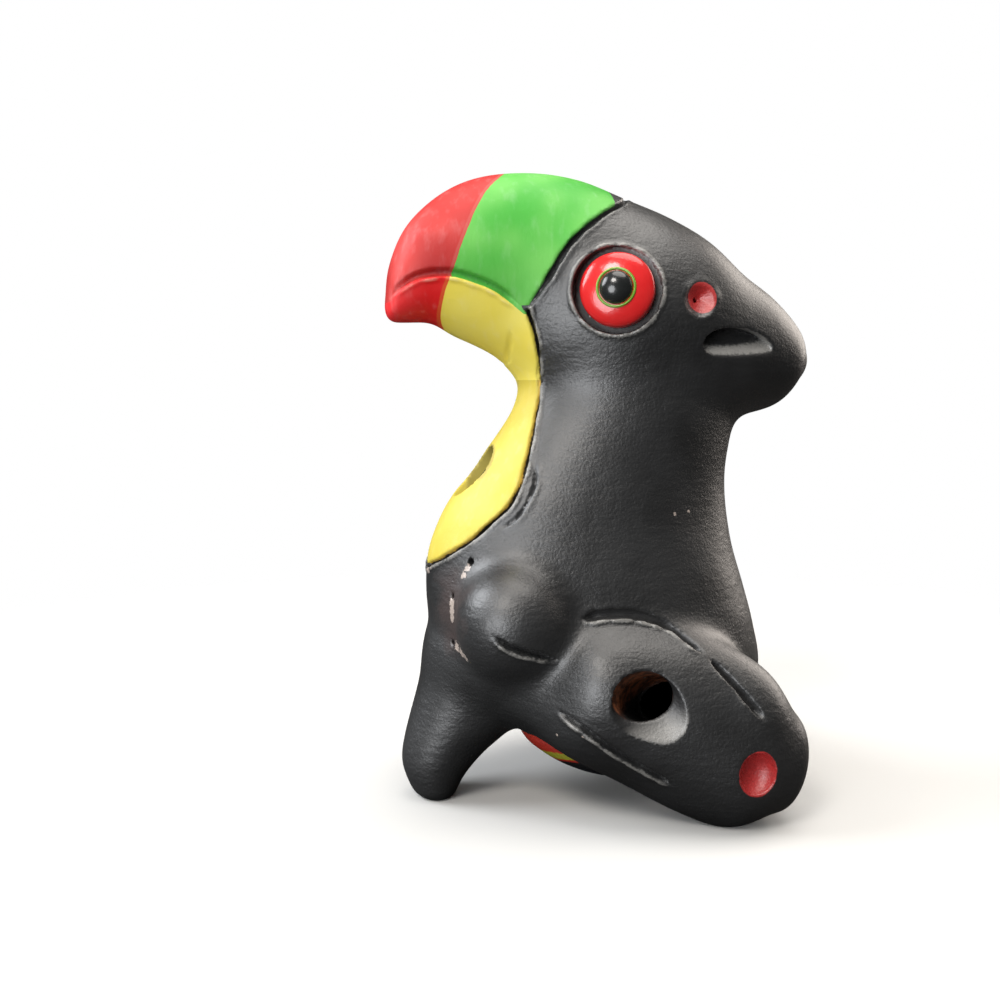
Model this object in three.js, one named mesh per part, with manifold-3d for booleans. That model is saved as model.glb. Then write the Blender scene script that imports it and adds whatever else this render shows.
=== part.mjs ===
import * as THREE from 'three';
import { mergeVertices } from 'three/addons/utils/BufferGeometryUtils.js';
import Module from 'manifold-3d';

// A hand-built clay bird whistle (ocarina) in millimetres, +Z up. The bird faces -X and
// its left side is -Y. It stands on one front leg and the tips of two splayed wings.
// Hollow clay shells are joined by thin lines of slip, and the player blows into the
// tail, whose windway aims the air at a sharp edge under the belly.

// Clay and joints
const WALL = 4.5;
const LUTE = 0.3;

// Trunk and neck, as level rings: rise above the ring group's base, then how far the
// ring reaches forward, backward and sideways from the centre line of the body
const BELLY_HEIGHT = 12;
const TRUNK = {
  belly: { rise: 0, front: 13, back: 25, side: 14 },
  groin: { rise: 4, front: 24.5, back: 30, side: 19 },
  haunch: { rise: 12, front: 32.6, back: 31.6, side: 22.5 },
  hip: { rise: 20, front: 32.8, back: 30.2, side: 22.5 },
  chest: { rise: 27, front: 33.4, back: 28.2, side: 21.2 },
  breast: { rise: 34, front: 33, back: 26, side: 19.8 },
  shoulder: { rise: 39.5, front: 31.2, back: 24.8, side: 18.6 },
  seam: { rise: 44, front: 28.8, back: 24.2, side: 17.8 },
};
const NECK = {
  throat: { rise: 5, front: 25, back: 24.2, side: 17 },
  nape: { rise: 11, front: 20.4, back: 25, side: 16.4 },
  collar: { rise: 16, front: 17.2, back: 25.8, side: 16 },
  seam: { rise: 20, front: 15.6, back: 25.4, side: 15.6 },
  core: { rise: 27, front: 12.5, back: 22.5, side: 14.6 },
};

// Beak, head and snout, as fanned rings from beak tip to snout tip: the upper and the
// lower point of each ring, measured from the middle of the head seam, and its half width
const CREST = {
  beakTip: { top: [-40.4, 16.2], bottom: [-39.2, 12.2], side: 4.6 },
  beakHook: { top: [-39.7, 22.6], bottom: [-36.2, 12.2], side: 6.5 },
  beakCurve: { top: [-36.6, 29.4], bottom: [-32, 12], side: 7.8 },
  beakArch: { top: [-30.6, 35.1], bottom: [-28.2, 9.8], side: 8.8 },
  beakMiddle: { top: [-23, 38.5], bottom: [-24.4, 8.2], side: 9.7 },
  beakBack: { top: [-13.8, 39.6], bottom: [-20, 6], side: 10.7 },
  beakRoot: { top: [-5, 38.5], bottom: [-17, 3.2], side: 12.4 },
  brow: { top: [3.7, 35.3], bottom: [-13, 0], side: 15.4 },
  temple: { top: [11.5, 32.4], bottom: [-5, -4], side: 17.6 },
  crown: { top: [19, 28.4], bottom: [8, -6], side: 17.2 },
  backOfHead: { top: [26, 22.6], bottom: [20, -6], side: 14.8 },
  snout: { top: [32.5, 18.2], bottom: [28.4, -4.6], side: 12.2 },
  muzzle: { top: [37.8, 12.8], bottom: [34.2, -2.8], side: 9.4 },
  muzzleTip: { top: [39.8, 8.6], bottom: [38.2, 1.4], side: 5.2 },
};
const BEAK_TIP_DOME = 0.9;
const SNOUT_TIP_DOME = 1.4;

// Where the beak meets the face, in the same measure as the crest
const FACE_LINE_TOP = [4.2, 37];
const MOUTH_CORNER = [-17.8, 15];
const FACE_LINE_FOOT = [-14.2, 2];
const GAPE = [[-44, 15], [-40, 18.6], [-36, 20.2], [-31.5, 20.4], [-27, 19.8], [-22.5, 18]];
const SNOUT_LINE_TOP = [11, 33];
const SNOUT_LINE_FOOT = [6.5, -7];

// Bib: a thin slab let into the throat, half widths at heights from the belly
const BIB_THICKNESS = 2.4;
const BIB_OUTLINE = [[5.2, 66], [7.4, 60.6], [9.6, 54], [12.4, 46], [12.6, 39], [7.4, 34]];
const BIB_POINT = 30.6;
const BIB_HOLE_RADIUS = 4.5;
const BIB_HOLE_HEIGHT = 49.3;
const BIB_HOLE_TILT = 16;

// Eyes
const EYE_HEIGHT = 17.6;
const EYE_BACK = -2.1;
const EYE_TURN_ANGLE = 23;
const EYE_LIFT_ANGLE = 6;
const EYE_SINK = 0.7;
const EYE_RADIUS = 6.5;
const EYE_DOME = 2.2;
const EYE_SEAT_DEPTH = 1.8;
const EYE_GROOVE = 1.3;
const EYE_RING_RADIUS = 3.3;
const EYE_RING_THICKNESS = 0.7;
const EYE_RING_SEAT = 0.35;
const PUPIL_RADIUS = 2.6;
const PUPIL_DOME = 1.3;

// Face on the snout
const NOSTRIL_RADIUS = 2.9;
const NOSTRIL_DEPTH = 1.8;
const NOSTRIL_BACK = 13.2;
const NOSTRIL_HEIGHT = 16.4;
const SNOUT_MOUTH_LENGTH = 13;
const SNOUT_MOUTH_HEIGHT = 4.6;
const SNOUT_MOUTH_DEPTH = 2.6;
const SNOUT_MOUTH_BACK = 21.5;
const SNOUT_MOUTH_RISE = 8.6;
const SNOUT_MOUTH_SLOPE = 9;
const SNOUT_MOUTH_TURN_ANGLE = 15;

// Front leg, as rings from the chest to the sole
const LEG = {
  root: { top: [-33, 19], bottom: [-15, 11], side: 11 },
  thigh: { top: [-35, 9.5], bottom: [-17.4, 1.5], side: 10 },
  shin: { top: [-37.6, 0], bottom: [-22.6, -3.6], side: 8.4 },
  ankle: { top: [-38.3, -5.5], bottom: [-26.2, -8], side: 6.9 },
  sole: { top: [-36.6, -10.6], bottom: [-28.2, -11.9], side: 5.4 },
};
const SOLE_DOME = 1.4;

// Shoulder knobs
const KNOB_RADIUS = 10.2;
const KNOB_PROUD = 7.4;
const KNOB_HEIGHT = 23.8;
const KNOB_TURN_ANGLE = 53;

// Wings, as rings from inside the hip to the tip, with each ring's own distance out
const WING = {
  root: { top: [-14.5, 22.5], bottom: [-20, 6.4], out: 9.5, side: 9 },
  lobe: { top: [-7, 25], bottom: [-12.4, 0.6], out: 15.6, side: 12.8 },
  middle: { top: [4.6, 24], bottom: [-2, -5], out: 18, side: 13 },
  wrist: { top: [15.4, 20.6], bottom: [8, -10.4], out: 20.4, side: 12 },
  paw: { top: [24, 15.2], bottom: [16.4, -12.9], out: 22.8, side: 10.4 },
  tip: { top: [29.4, 8], bottom: [24.2, -8.4], out: 23.6, side: 7.8 },
};
const WING_TIP_DOME = 4.8;
const FINGER_HOLE_RADIUS = 5.1;
const FINGER_HOLE_BEVEL = 1.1;
const FINGER_HOLE_BACK = -0.3;
const FINGER_HOLE_HEIGHT = 11.5;
const PAW_DIMPLE_RADIUS = 4;
const PAW_DIMPLE_DEPTH = 2.2;
const PAW_DIMPLE_BACK = 18.6;
const PAW_DIMPLE_HEIGHT = -0.4;
const PAW_DIMPLE_ANGLE = 18;

// Tail mouthpiece, as rings from under the belly to the lips, and its windway
const TAIL = {
  heel: { top: [-12, 1], bottom: [-15.5, -1.4], side: 7.5 },
  keel: { top: [-5, 2], bottom: [-8.5, -6.2], side: 9.6 },
  window: { top: [3, 2.6], bottom: [1, -9.4], side: 10.2 },
  middle: { top: [15, 3], bottom: [15, -9.4], side: 10.2 },
  neck: { top: [27, 1.6], bottom: [27, -8.8], side: 9.4 },
  lips: { top: [36, -0.6], bottom: [36, -7.8], side: 8.4 },
};
const TAIL_SQUARENESS = 3;
const HEEL_DOME = 1;
const WINDWAY_WIDTH = 8.4;
const WINDWAY_HEIGHT = 1.6;
const WINDWAY_DROP = 4.2;
const WINDOW_FRONT = 2.4;
const WINDOW_LENGTH = 6;
const LABIUM_SLOPE = 34;
const THROAT_FRONT = -3;

// Finish of each clay colour
const BLACK_SLIP = { color: 0x2a2b2e, roughness: 0.55, metalness: 0 };
const RED_PAINT = { color: 0xc8322e, roughness: 0.45, metalness: 0 };
const GREEN_PAINT = { color: 0x4bb53c, roughness: 0.45, metalness: 0 };
const YELLOW_PAINT = { color: 0xe9d93c, roughness: 0.5, metalness: 0 };
const EYE_GLOSS = { color: 0xd6262a, roughness: 0.15, metalness: 0 };
const RING_GLOSS = { color: 0x9fb52c, roughness: 0.2, metalness: 0 };
const PUPIL_GLOSS = { color: 0x0b0c0e, roughness: 0.08, metalness: 0 };

const FAR = 300;
const OUTER = { sides: 24, steps: 2 };
const INNER = { sides: 16, steps: 1 };

const wasm = await Module();
wasm.setup();

function solid(geometry) {
  const bare = geometry.clone();
  bare.deleteAttribute('normal');
  bare.deleteAttribute('uv');
  const merged = mergeVertices(bare, 1e-4);
  return new wasm.Manifold(new wasm.Mesh({
    numProp: 3,
    vertProperties: new Float32Array(merged.attributes.position.array),
    triVerts: new Uint32Array(merged.index.array),
  }));
}

function geometryOf(manifold) {
  const mesh = manifold.getMesh();
  const geometry = new THREE.BufferGeometry();
  geometry.setAttribute('position', new THREE.BufferAttribute(mesh.vertProperties, 3));
  geometry.setIndex(new THREE.BufferAttribute(mesh.triVerts, 1));
  geometry.computeVertexNormals();
  return geometry;
}

// Offcuts that a neighbour's cut leaves loose are thrown away
function withoutOffcuts(manifold) {
  return manifold.decompose().reduce((a, b) => (a.volume() > b.volume() ? a : b));
}

function pieceMesh(name, manifold, finish) {
  const geometry = geometryOf(withoutOffcuts(manifold));
  const mesh = new THREE.Mesh(geometry, new THREE.MeshStandardMaterial(finish));
  mesh.name = name;
  return mesh;
}

// One closed ring of a form: points on a rounded outline round its chord
function ringPoints(ring, scale, shift, squareness, sides) {
  const half = ring.top.clone().sub(ring.bottom).multiplyScalar(0.5);
  const centre = ring.top.clone().add(ring.bottom).multiplyScalar(0.5).add(shift);
  const points = [];
  for (let i = 0; i < sides; i += 1) {
    const angle = (2 * Math.PI * i) / sides;
    const up = Math.sign(Math.cos(angle)) * Math.abs(Math.cos(angle)) ** (2 / squareness);
    const out = Math.sign(Math.sin(angle)) * Math.abs(Math.sin(angle)) ** (2 / squareness);
    const point = centre.clone().addScaledVector(half, up * scale);
    point.y += out * ring.side * scale;
    points.push(point);
  }
  return points;
}

// The rings between the named ones lie on smooth curves through them
function smoothRings(rings, grow, steps) {
  const curve = (pointOf) => new THREE.CatmullRomCurve3(rings.map(pointOf));
  const tops = curve((r) => new THREE.Vector3(r.top[0], r.out ?? 0, r.top[1]));
  const bottoms = curve((r) => new THREE.Vector3(r.bottom[0], r.out ?? 0, r.bottom[1]));
  const sides = curve((r) => new THREE.Vector3(r.side, 0, 0));
  const count = (rings.length - 1) * steps;
  const smooth = [];
  for (let i = 0; i <= count; i += 1) {
    const top = tops.getPoint(i / count);
    const bottom = bottoms.getPoint(i / count);
    const reach = top.clone().sub(bottom).normalize().multiplyScalar(grow);
    top.add(reach);
    bottom.sub(reach);
    smooth.push({ top, bottom, side: sides.getPoint(i / count).x + grow });
  }
  return smooth;
}

// A closed form through a list of rings. grow makes it larger or smaller all over, and
// a dome rounds an end by that much.
function loft(rings, { grow = 0, startDome = 0, endDome = 0, squareness = 2, mesh = OUTER } = {}) {
  const smooth = smoothRings(rings, grow, mesh.steps);
  const middles = smooth.map((r) => r.top.clone().add(r.bottom).multiplyScalar(0.5));
  const last = middles.length - 1;
  const startWay = middles[0].clone().sub(middles[1]).normalize();
  const endWay = middles[last].clone().sub(middles[last - 1]).normalize();
  const none = new THREE.Vector3();
  const loops = smooth.map((r) => ringPoints(r, 1, none, squareness, mesh.sides));
  const domeAngles = [Math.PI / 6, Math.PI / 3];
  const startReach = startDome + grow;
  const endReach = endDome + grow;
  for (const angle of startDome > 0 ? domeAngles : []) {
    const shift = startWay.clone().multiplyScalar(startReach * Math.sin(angle));
    loops.unshift(ringPoints(smooth[0], Math.cos(angle), shift, squareness, mesh.sides));
  }
  for (const angle of endDome > 0 ? domeAngles : []) {
    const shift = endWay.clone().multiplyScalar(endReach * Math.sin(angle));
    loops.push(ringPoints(smooth[last], Math.cos(angle), shift, squareness, mesh.sides));
  }
  return closedSkin(
    loops,
    middles[0].clone().addScaledVector(startWay, startReach),
    middles[last].clone().addScaledVector(endWay, endReach),
  );
}

function closedSkin(loops, startPole, endPole) {
  const sides = loops[0].length;
  const positions = loops.flat().flatMap((p) => p.toArray());
  positions.push(...startPole.toArray(), ...endPole.toArray());
  const start = loops.length * sides;
  const index = [];
  for (let i = 0; i < sides; i += 1) {
    const next = (i + 1) % sides;
    index.push(start, next, i);
    const end = (loops.length - 1) * sides;
    index.push(start + 1, end + i, end + next);
    for (let ring = 0; ring < loops.length - 1; ring += 1) {
      const here = ring * sides;
      const there = here + sides;
      index.push(here + i, here + next, there + i);
      index.push(here + next, there + next, there + i);
    }
  }
  const geometry = new THREE.BufferGeometry();
  geometry.setAttribute('position', new THREE.Float32BufferAttribute(positions, 3));
  geometry.setIndex(index);
  const made = solid(geometry);
  return made.volume() < 0 ? solid(flipped(geometry)) : made;
}

function flipped(geometry) {
  const turned = geometry.clone();
  turned.setIndex(Array.from(geometry.index.array).reverse());
  return turned;
}

// Ring groups are written from their own base and moved to their place on the bird
function raised(rings, baseHeight) {
  return Object.values(rings).map((r) => ({
    ...r,
    top: [r.top[0], r.top[1] + baseHeight],
    bottom: [r.bottom[0], r.bottom[1] + baseHeight],
  }));
}

function levelRings(rings, baseHeight) {
  return Object.values(rings).map((r) => ({
    top: [-r.front, baseHeight + r.rise],
    bottom: [r.back, baseHeight + r.rise],
    side: r.side,
  }));
}

const bellyZ = BELLY_HEIGHT;
const neckSeamZ = bellyZ + TRUNK.seam.rise;
const headSeamZ = neckSeamZ + NECK.seam.rise;
const columnRings = [...levelRings(TRUNK, bellyZ), ...levelRings(NECK, neckSeamZ)];
const crestRings = raised(CREST, headSeamZ);
const legRings = raised(LEG, bellyZ);
const tailRings = raised(TAIL, bellyZ);

function wingRings(side) {
  return raised(WING, bellyZ).map((r) => ({ ...r, out: side * r.out }));
}

const column = (grow = 0) => loft(columnRings, { grow });
function crest() {
  return loft(crestRings, { startDome: BEAK_TIP_DOME, endDome: SNOUT_TIP_DOME });
}
const wing = (side, grow = 0) => loft(wingRings(side), { grow, endDome: WING_TIP_DOME });

// A block that fills an outline drawn in the XZ plane, across the whole width
function sideBlock(points, width = FAR) {
  const shape = new THREE.Shape(points.map(([x, z]) => new THREE.Vector2(x, z)));
  const geometry = new THREE.ExtrudeGeometry(shape, { depth: width, bevelEnabled: false });
  geometry.rotateX(Math.PI / 2);
  geometry.translate(0, width / 2, 0);
  return solid(geometry);
}

function slab(lowZ, highZ) {
  const geometry = new THREE.BoxGeometry(FAR, FAR, highZ - lowZ);
  geometry.translate(0, 0, (lowZ + highZ) / 2);
  return solid(geometry);
}

function placed(geometry, object) {
  object.updateMatrixWorld(true);
  return solid(geometry.clone().applyMatrix4(object.matrixWorld));
}

// The place where a straight line from inside a form leaves its surface
function surfaceSpot(form, start, direction) {
  const target = new THREE.Mesh(geometryOf(form), new THREE.MeshBasicMaterial({ side: THREE.DoubleSide }));
  const hits = new THREE.Raycaster(start, direction.clone().normalize()).intersectObject(target);
  return hits[hits.length - 1].point;
}

// A frame at a spot on the surface whose +Z points out along a direction
function seatAt(point, direction) {
  const seat = new THREE.Object3D();
  seat.position.copy(point);
  seat.quaternion.setFromUnitVectors(new THREE.Vector3(0, 0, 1), direction.clone().normalize());
  return seat;
}

function outward(turnDegrees, liftDegrees, side) {
  const turn = THREE.MathUtils.degToRad(turnDegrees);
  const lift = THREE.MathUtils.degToRad(liftDegrees);
  return new THREE.Vector3(
    -Math.sin(turn) * Math.cos(lift),
    side * Math.cos(turn) * Math.cos(lift),
    Math.sin(lift),
  );
}

// A round hollow pressed into the clay: part of a ball, set at the wanted depth
function pressedHollow(seat, radius, depth) {
  const ball = (radius * radius + depth * depth) / (2 * depth);
  const geometry = new THREE.SphereGeometry(ball, 16, 10);
  geometry.translate(0, 0, ball - depth);
  return placed(geometry, seat);
}

const at = ([x, z], base) => [x, z + base];
const shifted = ([x, z], dx) => [x + dx, z];

// Everything in front of the face line, where the beak is set on
function beakSide(gap) {
  const top = shifted(at(FACE_LINE_TOP, headSeamZ), -gap);
  const corner = shifted(at(MOUTH_CORNER, headSeamZ), -gap);
  const foot = shifted(at(FACE_LINE_FOOT, headSeamZ), -gap);
  const beyondTop = [top[0] + (top[0] - corner[0]), top[1] + (top[1] - corner[1])];
  return sideBlock([[-FAR, foot[1]], foot, corner, top, beyondTop, [-FAR, beyondTop[1]]]);
}

// Everything below the gape
function gapeBlock(drop) {
  const corner = at(MOUTH_CORNER, headSeamZ - drop);
  const line = GAPE.map((point) => at(point, headSeamZ - drop));
  return sideBlock([[-FAR, line[0][1]], ...line, corner, [FAR, corner[1]], [FAR, -FAR], [-FAR, -FAR]]);
}

// Everything behind the snout line
function snoutSide(gap) {
  const top = shifted(at(SNOUT_LINE_TOP, headSeamZ), gap);
  const foot = shifted(at(SNOUT_LINE_FOOT, headSeamZ), gap);
  const rise = top[1] - foot[1];
  const lean = top[0] - foot[0];
  return sideBlock([
    [foot[0] - lean, foot[1] - rise],
    [FAR, foot[1] - rise],
    [FAR, top[1] + rise],
    [top[0] + lean, top[1] + rise],
  ]);
}

// The bib's outline, drawn from the front and pushed through the throat
function bibBlock(grow) {
  const edge = BIB_OUTLINE.map(([half, rise]) => new THREE.Vector2(half + grow, bellyZ + rise));
  const point = new THREE.Vector2(0, bellyZ + BIB_POINT - grow);
  const mirrored = edge.map((p) => new THREE.Vector2(-p.x, p.y)).reverse();
  edge[0].y += grow;
  mirrored[mirrored.length - 1].y += grow;
  const shape = new THREE.Shape();
  shape.moveTo(edge[0].x, edge[0].y);
  shape.splineThru([...edge.slice(1), point, ...mirrored]);
  shape.closePath();
  const geometry = new THREE.ExtrudeGeometry(shape, { depth: FAR, bevelEnabled: false, curveSegments: 3 });
  geometry.applyMatrix4(new THREE.Matrix4().makeBasis(
    new THREE.Vector3(0, 1, 0),
    new THREE.Vector3(0, 0, 1),
    new THREE.Vector3(1, 0, 0),
  ));
  geometry.translate(-FAR, 0, 0);
  return solid(geometry);
}

const bibRoom = bibBlock(LUTE).subtract(column(-BIB_THICKNESS - LUTE));

// The hollow of the whistle: trunk, neck, head and both wings open into one another
function hollow() {
  const names = Object.keys(CREST);
  const headRings = crestRings.slice(names.indexOf('brow'), names.indexOf('snout'));
  const headHollow = loft(headRings, { grow: -WALL, mesh: INNER });
  let space = loft(columnRings, { grow: -WALL, mesh: INNER }).add(headHollow);
  for (const side of [-1, 1]) {
    space = space.add(loft(wingRings(side).slice(0, -2), { grow: -WALL, mesh: INNER }));
  }
  return space;
}

const cavity = hollow();
const wholeColumn = column();
const wholeCrest = crest();

function fingerHole(side) {
  const way = new THREE.Vector3(0, side, 0);
  const inside = new THREE.Vector3(FINGER_HOLE_BACK, 0, bellyZ + FINGER_HOLE_HEIGHT);
  const seat = seatAt(surfaceSpot(wing(side), inside, way), way);
  const bore = new THREE.CylinderGeometry(FINGER_HOLE_RADIUS, FINGER_HOLE_RADIUS, 4 * WALL, 24);
  const bevel = new THREE.CylinderGeometry(
    FINGER_HOLE_RADIUS + 2 * FINGER_HOLE_BEVEL,
    FINGER_HOLE_RADIUS,
    2 * FINGER_HOLE_BEVEL,
    24,
  );
  bore.rotateX(Math.PI / 2);
  bevel.rotateX(Math.PI / 2);
  return placed(bore, seat).add(placed(bevel, seat));
}

function bibHole() {
  const tilt = THREE.MathUtils.degToRad(BIB_HOLE_TILT);
  const way = new THREE.Vector3(-Math.cos(tilt), 0, Math.sin(tilt));
  const level = new THREE.Vector3(0, 0, bellyZ + BIB_HOLE_HEIGHT);
  const seat = seatAt(surfaceSpot(wholeColumn, level, new THREE.Vector3(-1, 0, 0)), way);
  const bore = new THREE.CylinderGeometry(BIB_HOLE_RADIUS, BIB_HOLE_RADIUS, 5 * WALL, 20);
  bore.rotateX(Math.PI / 2);
  return placed(bore, seat);
}

function eyeSeat(side) {
  const inside = new THREE.Vector3(EYE_BACK, 0, headSeamZ + EYE_HEIGHT);
  const spot = surfaceSpot(wholeCrest, inside, new THREE.Vector3(0, side, 0));
  const way = outward(EYE_TURN_ANGLE, EYE_LIFT_ANGLE, side);
  return seatAt(spot.addScaledVector(way, -EYE_SINK), way);
}

function eyeSocket(side) {
  const outer = EYE_RADIUS + EYE_GROOVE;
  const geometry = new THREE.CylinderGeometry(outer, outer, 2 * EYE_SEAT_DEPTH + EYE_DOME, 24);
  geometry.rotateX(Math.PI / 2);
  geometry.translate(0, 0, EYE_DOME / 2);
  return placed(geometry, eyeSeat(side));
}

function tailWindway() {
  const top = bellyZ - WINDWAY_DROP;
  const floor = top - WINDWAY_HEIGHT;
  const windowBack = WINDOW_FRONT + WINDOW_LENGTH;
  const edge = (top + floor) / 2;
  const fall = Math.tan(THREE.MathUtils.degToRad(LABIUM_SLOPE));
  const duct = sideBlock(
    [[WINDOW_FRONT, floor], [FAR, floor], [FAR, top], [WINDOW_FRONT, top]],
    WINDWAY_WIDTH,
  );
  const below = sideBlock([
    [WINDOW_FRONT, edge],
    [windowBack, edge],
    [windowBack, -BELLY_HEIGHT],
    [WINDOW_FRONT - (edge + BELLY_HEIGHT) / fall, -BELLY_HEIGHT],
  ], WINDWAY_WIDTH);
  const above = sideBlock([
    [WINDOW_FRONT, edge],
    [THROAT_FRONT, top],
    [THROAT_FRONT, bellyZ + 2 * WALL],
    [windowBack, bellyZ + 2 * WALL],
    [windowBack, edge],
  ], WINDWAY_WIDTH);
  return { duct, below, above };
}

const windway = tailWindway();
const holes = [-1, 1].map(fingerHole).reduce((all, hole) => all.add(hole), bibHole());
const sockets = [-1, 1].map(eyeSocket).reduce((all, socket) => all.add(socket));
const aboveFloor = slab(0, FAR);

// Body shells: two halves that meet on the centre line, with the neck set on top
function chamberHalf(side) {
  const half = new THREE.BoxGeometry(FAR, FAR, FAR);
  half.translate(0, side * (FAR + LUTE) / 2, 0);
  return wholeColumn
    .intersect(slab(-FAR, neckSeamZ - LUTE / 2))
    .intersect(solid(half))
    .subtract(cavity)
    .subtract(bibRoom)
    .subtract(wing(side, LUTE))
    .subtract(tail(LUTE))
    .subtract(holes)
    .subtract(windway.above);
}

function neckShell() {
  return wholeColumn
    .intersect(slab(neckSeamZ + LUTE / 2, headSeamZ - LUTE / 2))
    .subtract(cavity)
    .subtract(bibRoom)
    .subtract(holes)
    .subtract(beakSide(0));
}

function headShell() {
  return wholeCrest
    .add(wholeColumn)
    .intersect(slab(headSeamZ + LUTE / 2, FAR))
    .subtract(beakSide(0))
    .subtract(snoutSide(0))
    .subtract(cavity)
    .subtract(bibRoom)
    .subtract(sockets);
}

function snoutFace() {
  let cuts = null;
  for (const side of [-1, 1]) {
    const way = new THREE.Vector3(0, side, 0);
    const nostrilStart = new THREE.Vector3(NOSTRIL_BACK, 0, headSeamZ + NOSTRIL_HEIGHT);
    const nostril = seatAt(surfaceSpot(wholeCrest, nostrilStart, way), way);
    const mouthStart = new THREE.Vector3(SNOUT_MOUTH_BACK, 0, headSeamZ + SNOUT_MOUTH_RISE);
    const mouth = new THREE.Object3D();
    mouth.position.copy(surfaceSpot(wholeCrest, mouthStart, way));
    const slope = THREE.MathUtils.degToRad(SNOUT_MOUTH_SLOPE);
    const turn = THREE.MathUtils.degToRad(SNOUT_MOUTH_TURN_ANGLE);
    mouth.rotation.set(0, slope, -side * turn);
    const gouge = new THREE.SphereGeometry(1, 16, 8);
    gouge.scale(SNOUT_MOUTH_LENGTH / 2, SNOUT_MOUTH_DEPTH, SNOUT_MOUTH_HEIGHT / 2);
    const pair = pressedHollow(nostril, NOSTRIL_RADIUS, NOSTRIL_DEPTH).add(placed(gouge, mouth));
    cuts = cuts ? cuts.add(pair) : pair;
  }
  return cuts;
}

function napeSnout() {
  return wholeCrest
    .add(wholeColumn.intersect(slab(headSeamZ, FAR)))
    .intersect(snoutSide(LUTE))
    .subtract(wholeColumnBelowHead(LUTE))
    .subtract(cavity)
    .subtract(snoutFace());
}

function wholeColumnBelowHead(grow) {
  return column(grow).intersect(slab(-FAR, headSeamZ + LUTE / 2));
}

function upperBeak() {
  return wholeCrest.intersect(beakSide(LUTE)).subtract(gapeBlock(0)).subtract(cavity);
}

function lowerBeak() {
  return wholeCrest
    .add(wholeColumn)
    .intersect(beakSide(LUTE))
    .intersect(gapeBlock(LUTE))
    .subtract(bibRoom)
    .subtract(cavity);
}

function throatBib() {
  return wholeColumn
    .subtract(column(-BIB_THICKNESS))
    .intersect(bibBlock(0))
    .subtract(beakSide(0))
    .subtract(holes);
}

function frontLeg() {
  return loft(legRings, { endDome: SOLE_DOME }).subtract(column(LUTE)).subtract(slab(-FAR, 0));
}

function knobForm(side) {
  const inside = new THREE.Vector3(0, 0, bellyZ + KNOB_HEIGHT);
  const way = outward(KNOB_TURN_ANGLE, 0, side);
  const spot = surfaceSpot(wholeColumn, inside, way);
  const ball = new THREE.SphereGeometry(KNOB_RADIUS, 20, 12);
  ball.translate(0, 0, KNOB_PROUD - KNOB_RADIUS);
  return placed(ball, seatAt(spot, way));
}

function shoulderKnob(side) {
  return knobForm(side).subtract(column(LUTE)).subtract(bibRoom).subtract(wing(side, LUTE));
}

function wingLimb(side) {
  const way = outward(-PAW_DIMPLE_ANGLE, 0, side);
  const inside = new THREE.Vector3(PAW_DIMPLE_BACK, side * WING.paw.out, bellyZ + PAW_DIMPLE_HEIGHT);
  const dimple = pressedHollow(
    seatAt(surfaceSpot(wing(side), inside, way), way),
    PAW_DIMPLE_RADIUS,
    PAW_DIMPLE_DEPTH,
  );
  return wing(side)
    .intersect(aboveFloor)
    .subtract(cavity)
    .subtract(holes)
    .subtract(dimple)
    .subtract(tail(LUTE));
}

function tail(grow = 0) {
  return loft(tailRings, { grow, squareness: TAIL_SQUARENESS, startDome: HEEL_DOME });
}

function tailMouthpiece() {
  return tail().subtract(cavity).subtract(windway.duct).subtract(windway.below).subtract(windway.above);
}

// A domed button with its flat back on the seat
function button(radius, dome, seatDepth) {
  const profile = [new THREE.Vector2(0, -seatDepth), new THREE.Vector2(radius, -seatDepth)];
  for (let i = 0; i <= 3; i += 1) {
    const angle = (Math.PI / 2) * (i / 3);
    profile.push(new THREE.Vector2(radius * Math.cos(angle), dome * Math.sin(angle)));
  }
  profile[profile.length - 1].x = 0;
  const geometry = new THREE.LatheGeometry(profile, 20);
  geometry.rotateX(Math.PI / 2);
  return solid(geometry);
}

function eyePieces(side, word) {
  const group = eyeSeat(side);
  const ringCentre = EYE_DOME * Math.sqrt(1 - (EYE_RING_RADIUS / EYE_RADIUS) ** 2) - EYE_RING_SEAT;
  const coil = new THREE.TorusGeometry(EYE_RING_RADIUS, EYE_RING_THICKNESS / 2, 5, 20);
  coil.translate(0, 0, ringCentre + EYE_RING_THICKNESS / 2);
  const seatCut = new THREE.TorusGeometry(EYE_RING_RADIUS, EYE_RING_THICKNESS / 2 + LUTE, 5, 20);
  seatCut.translate(0, 0, ringCentre + EYE_RING_THICKNESS / 2);
  const pupilSeat = button(PUPIL_RADIUS + LUTE, EYE_DOME + PUPIL_DOME, 0);
  const disc = button(EYE_RADIUS, EYE_DOME, EYE_SEAT_DEPTH - LUTE)
    .subtract(solid(seatCut))
    .subtract(pupilSeat);
  const pupil = button(PUPIL_RADIUS, EYE_DOME + PUPIL_DOME - LUTE, -LUTE);
  group.add(pieceMesh(`eye_disc_${word}`, disc, EYE_GLOSS));
  group.add(pieceMesh(`eye_ring_${word}`, solid(coil), RING_GLOSS));
  group.add(pieceMesh(`pupil_${word}`, pupil, PUPIL_GLOSS));
  return group;
}

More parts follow.
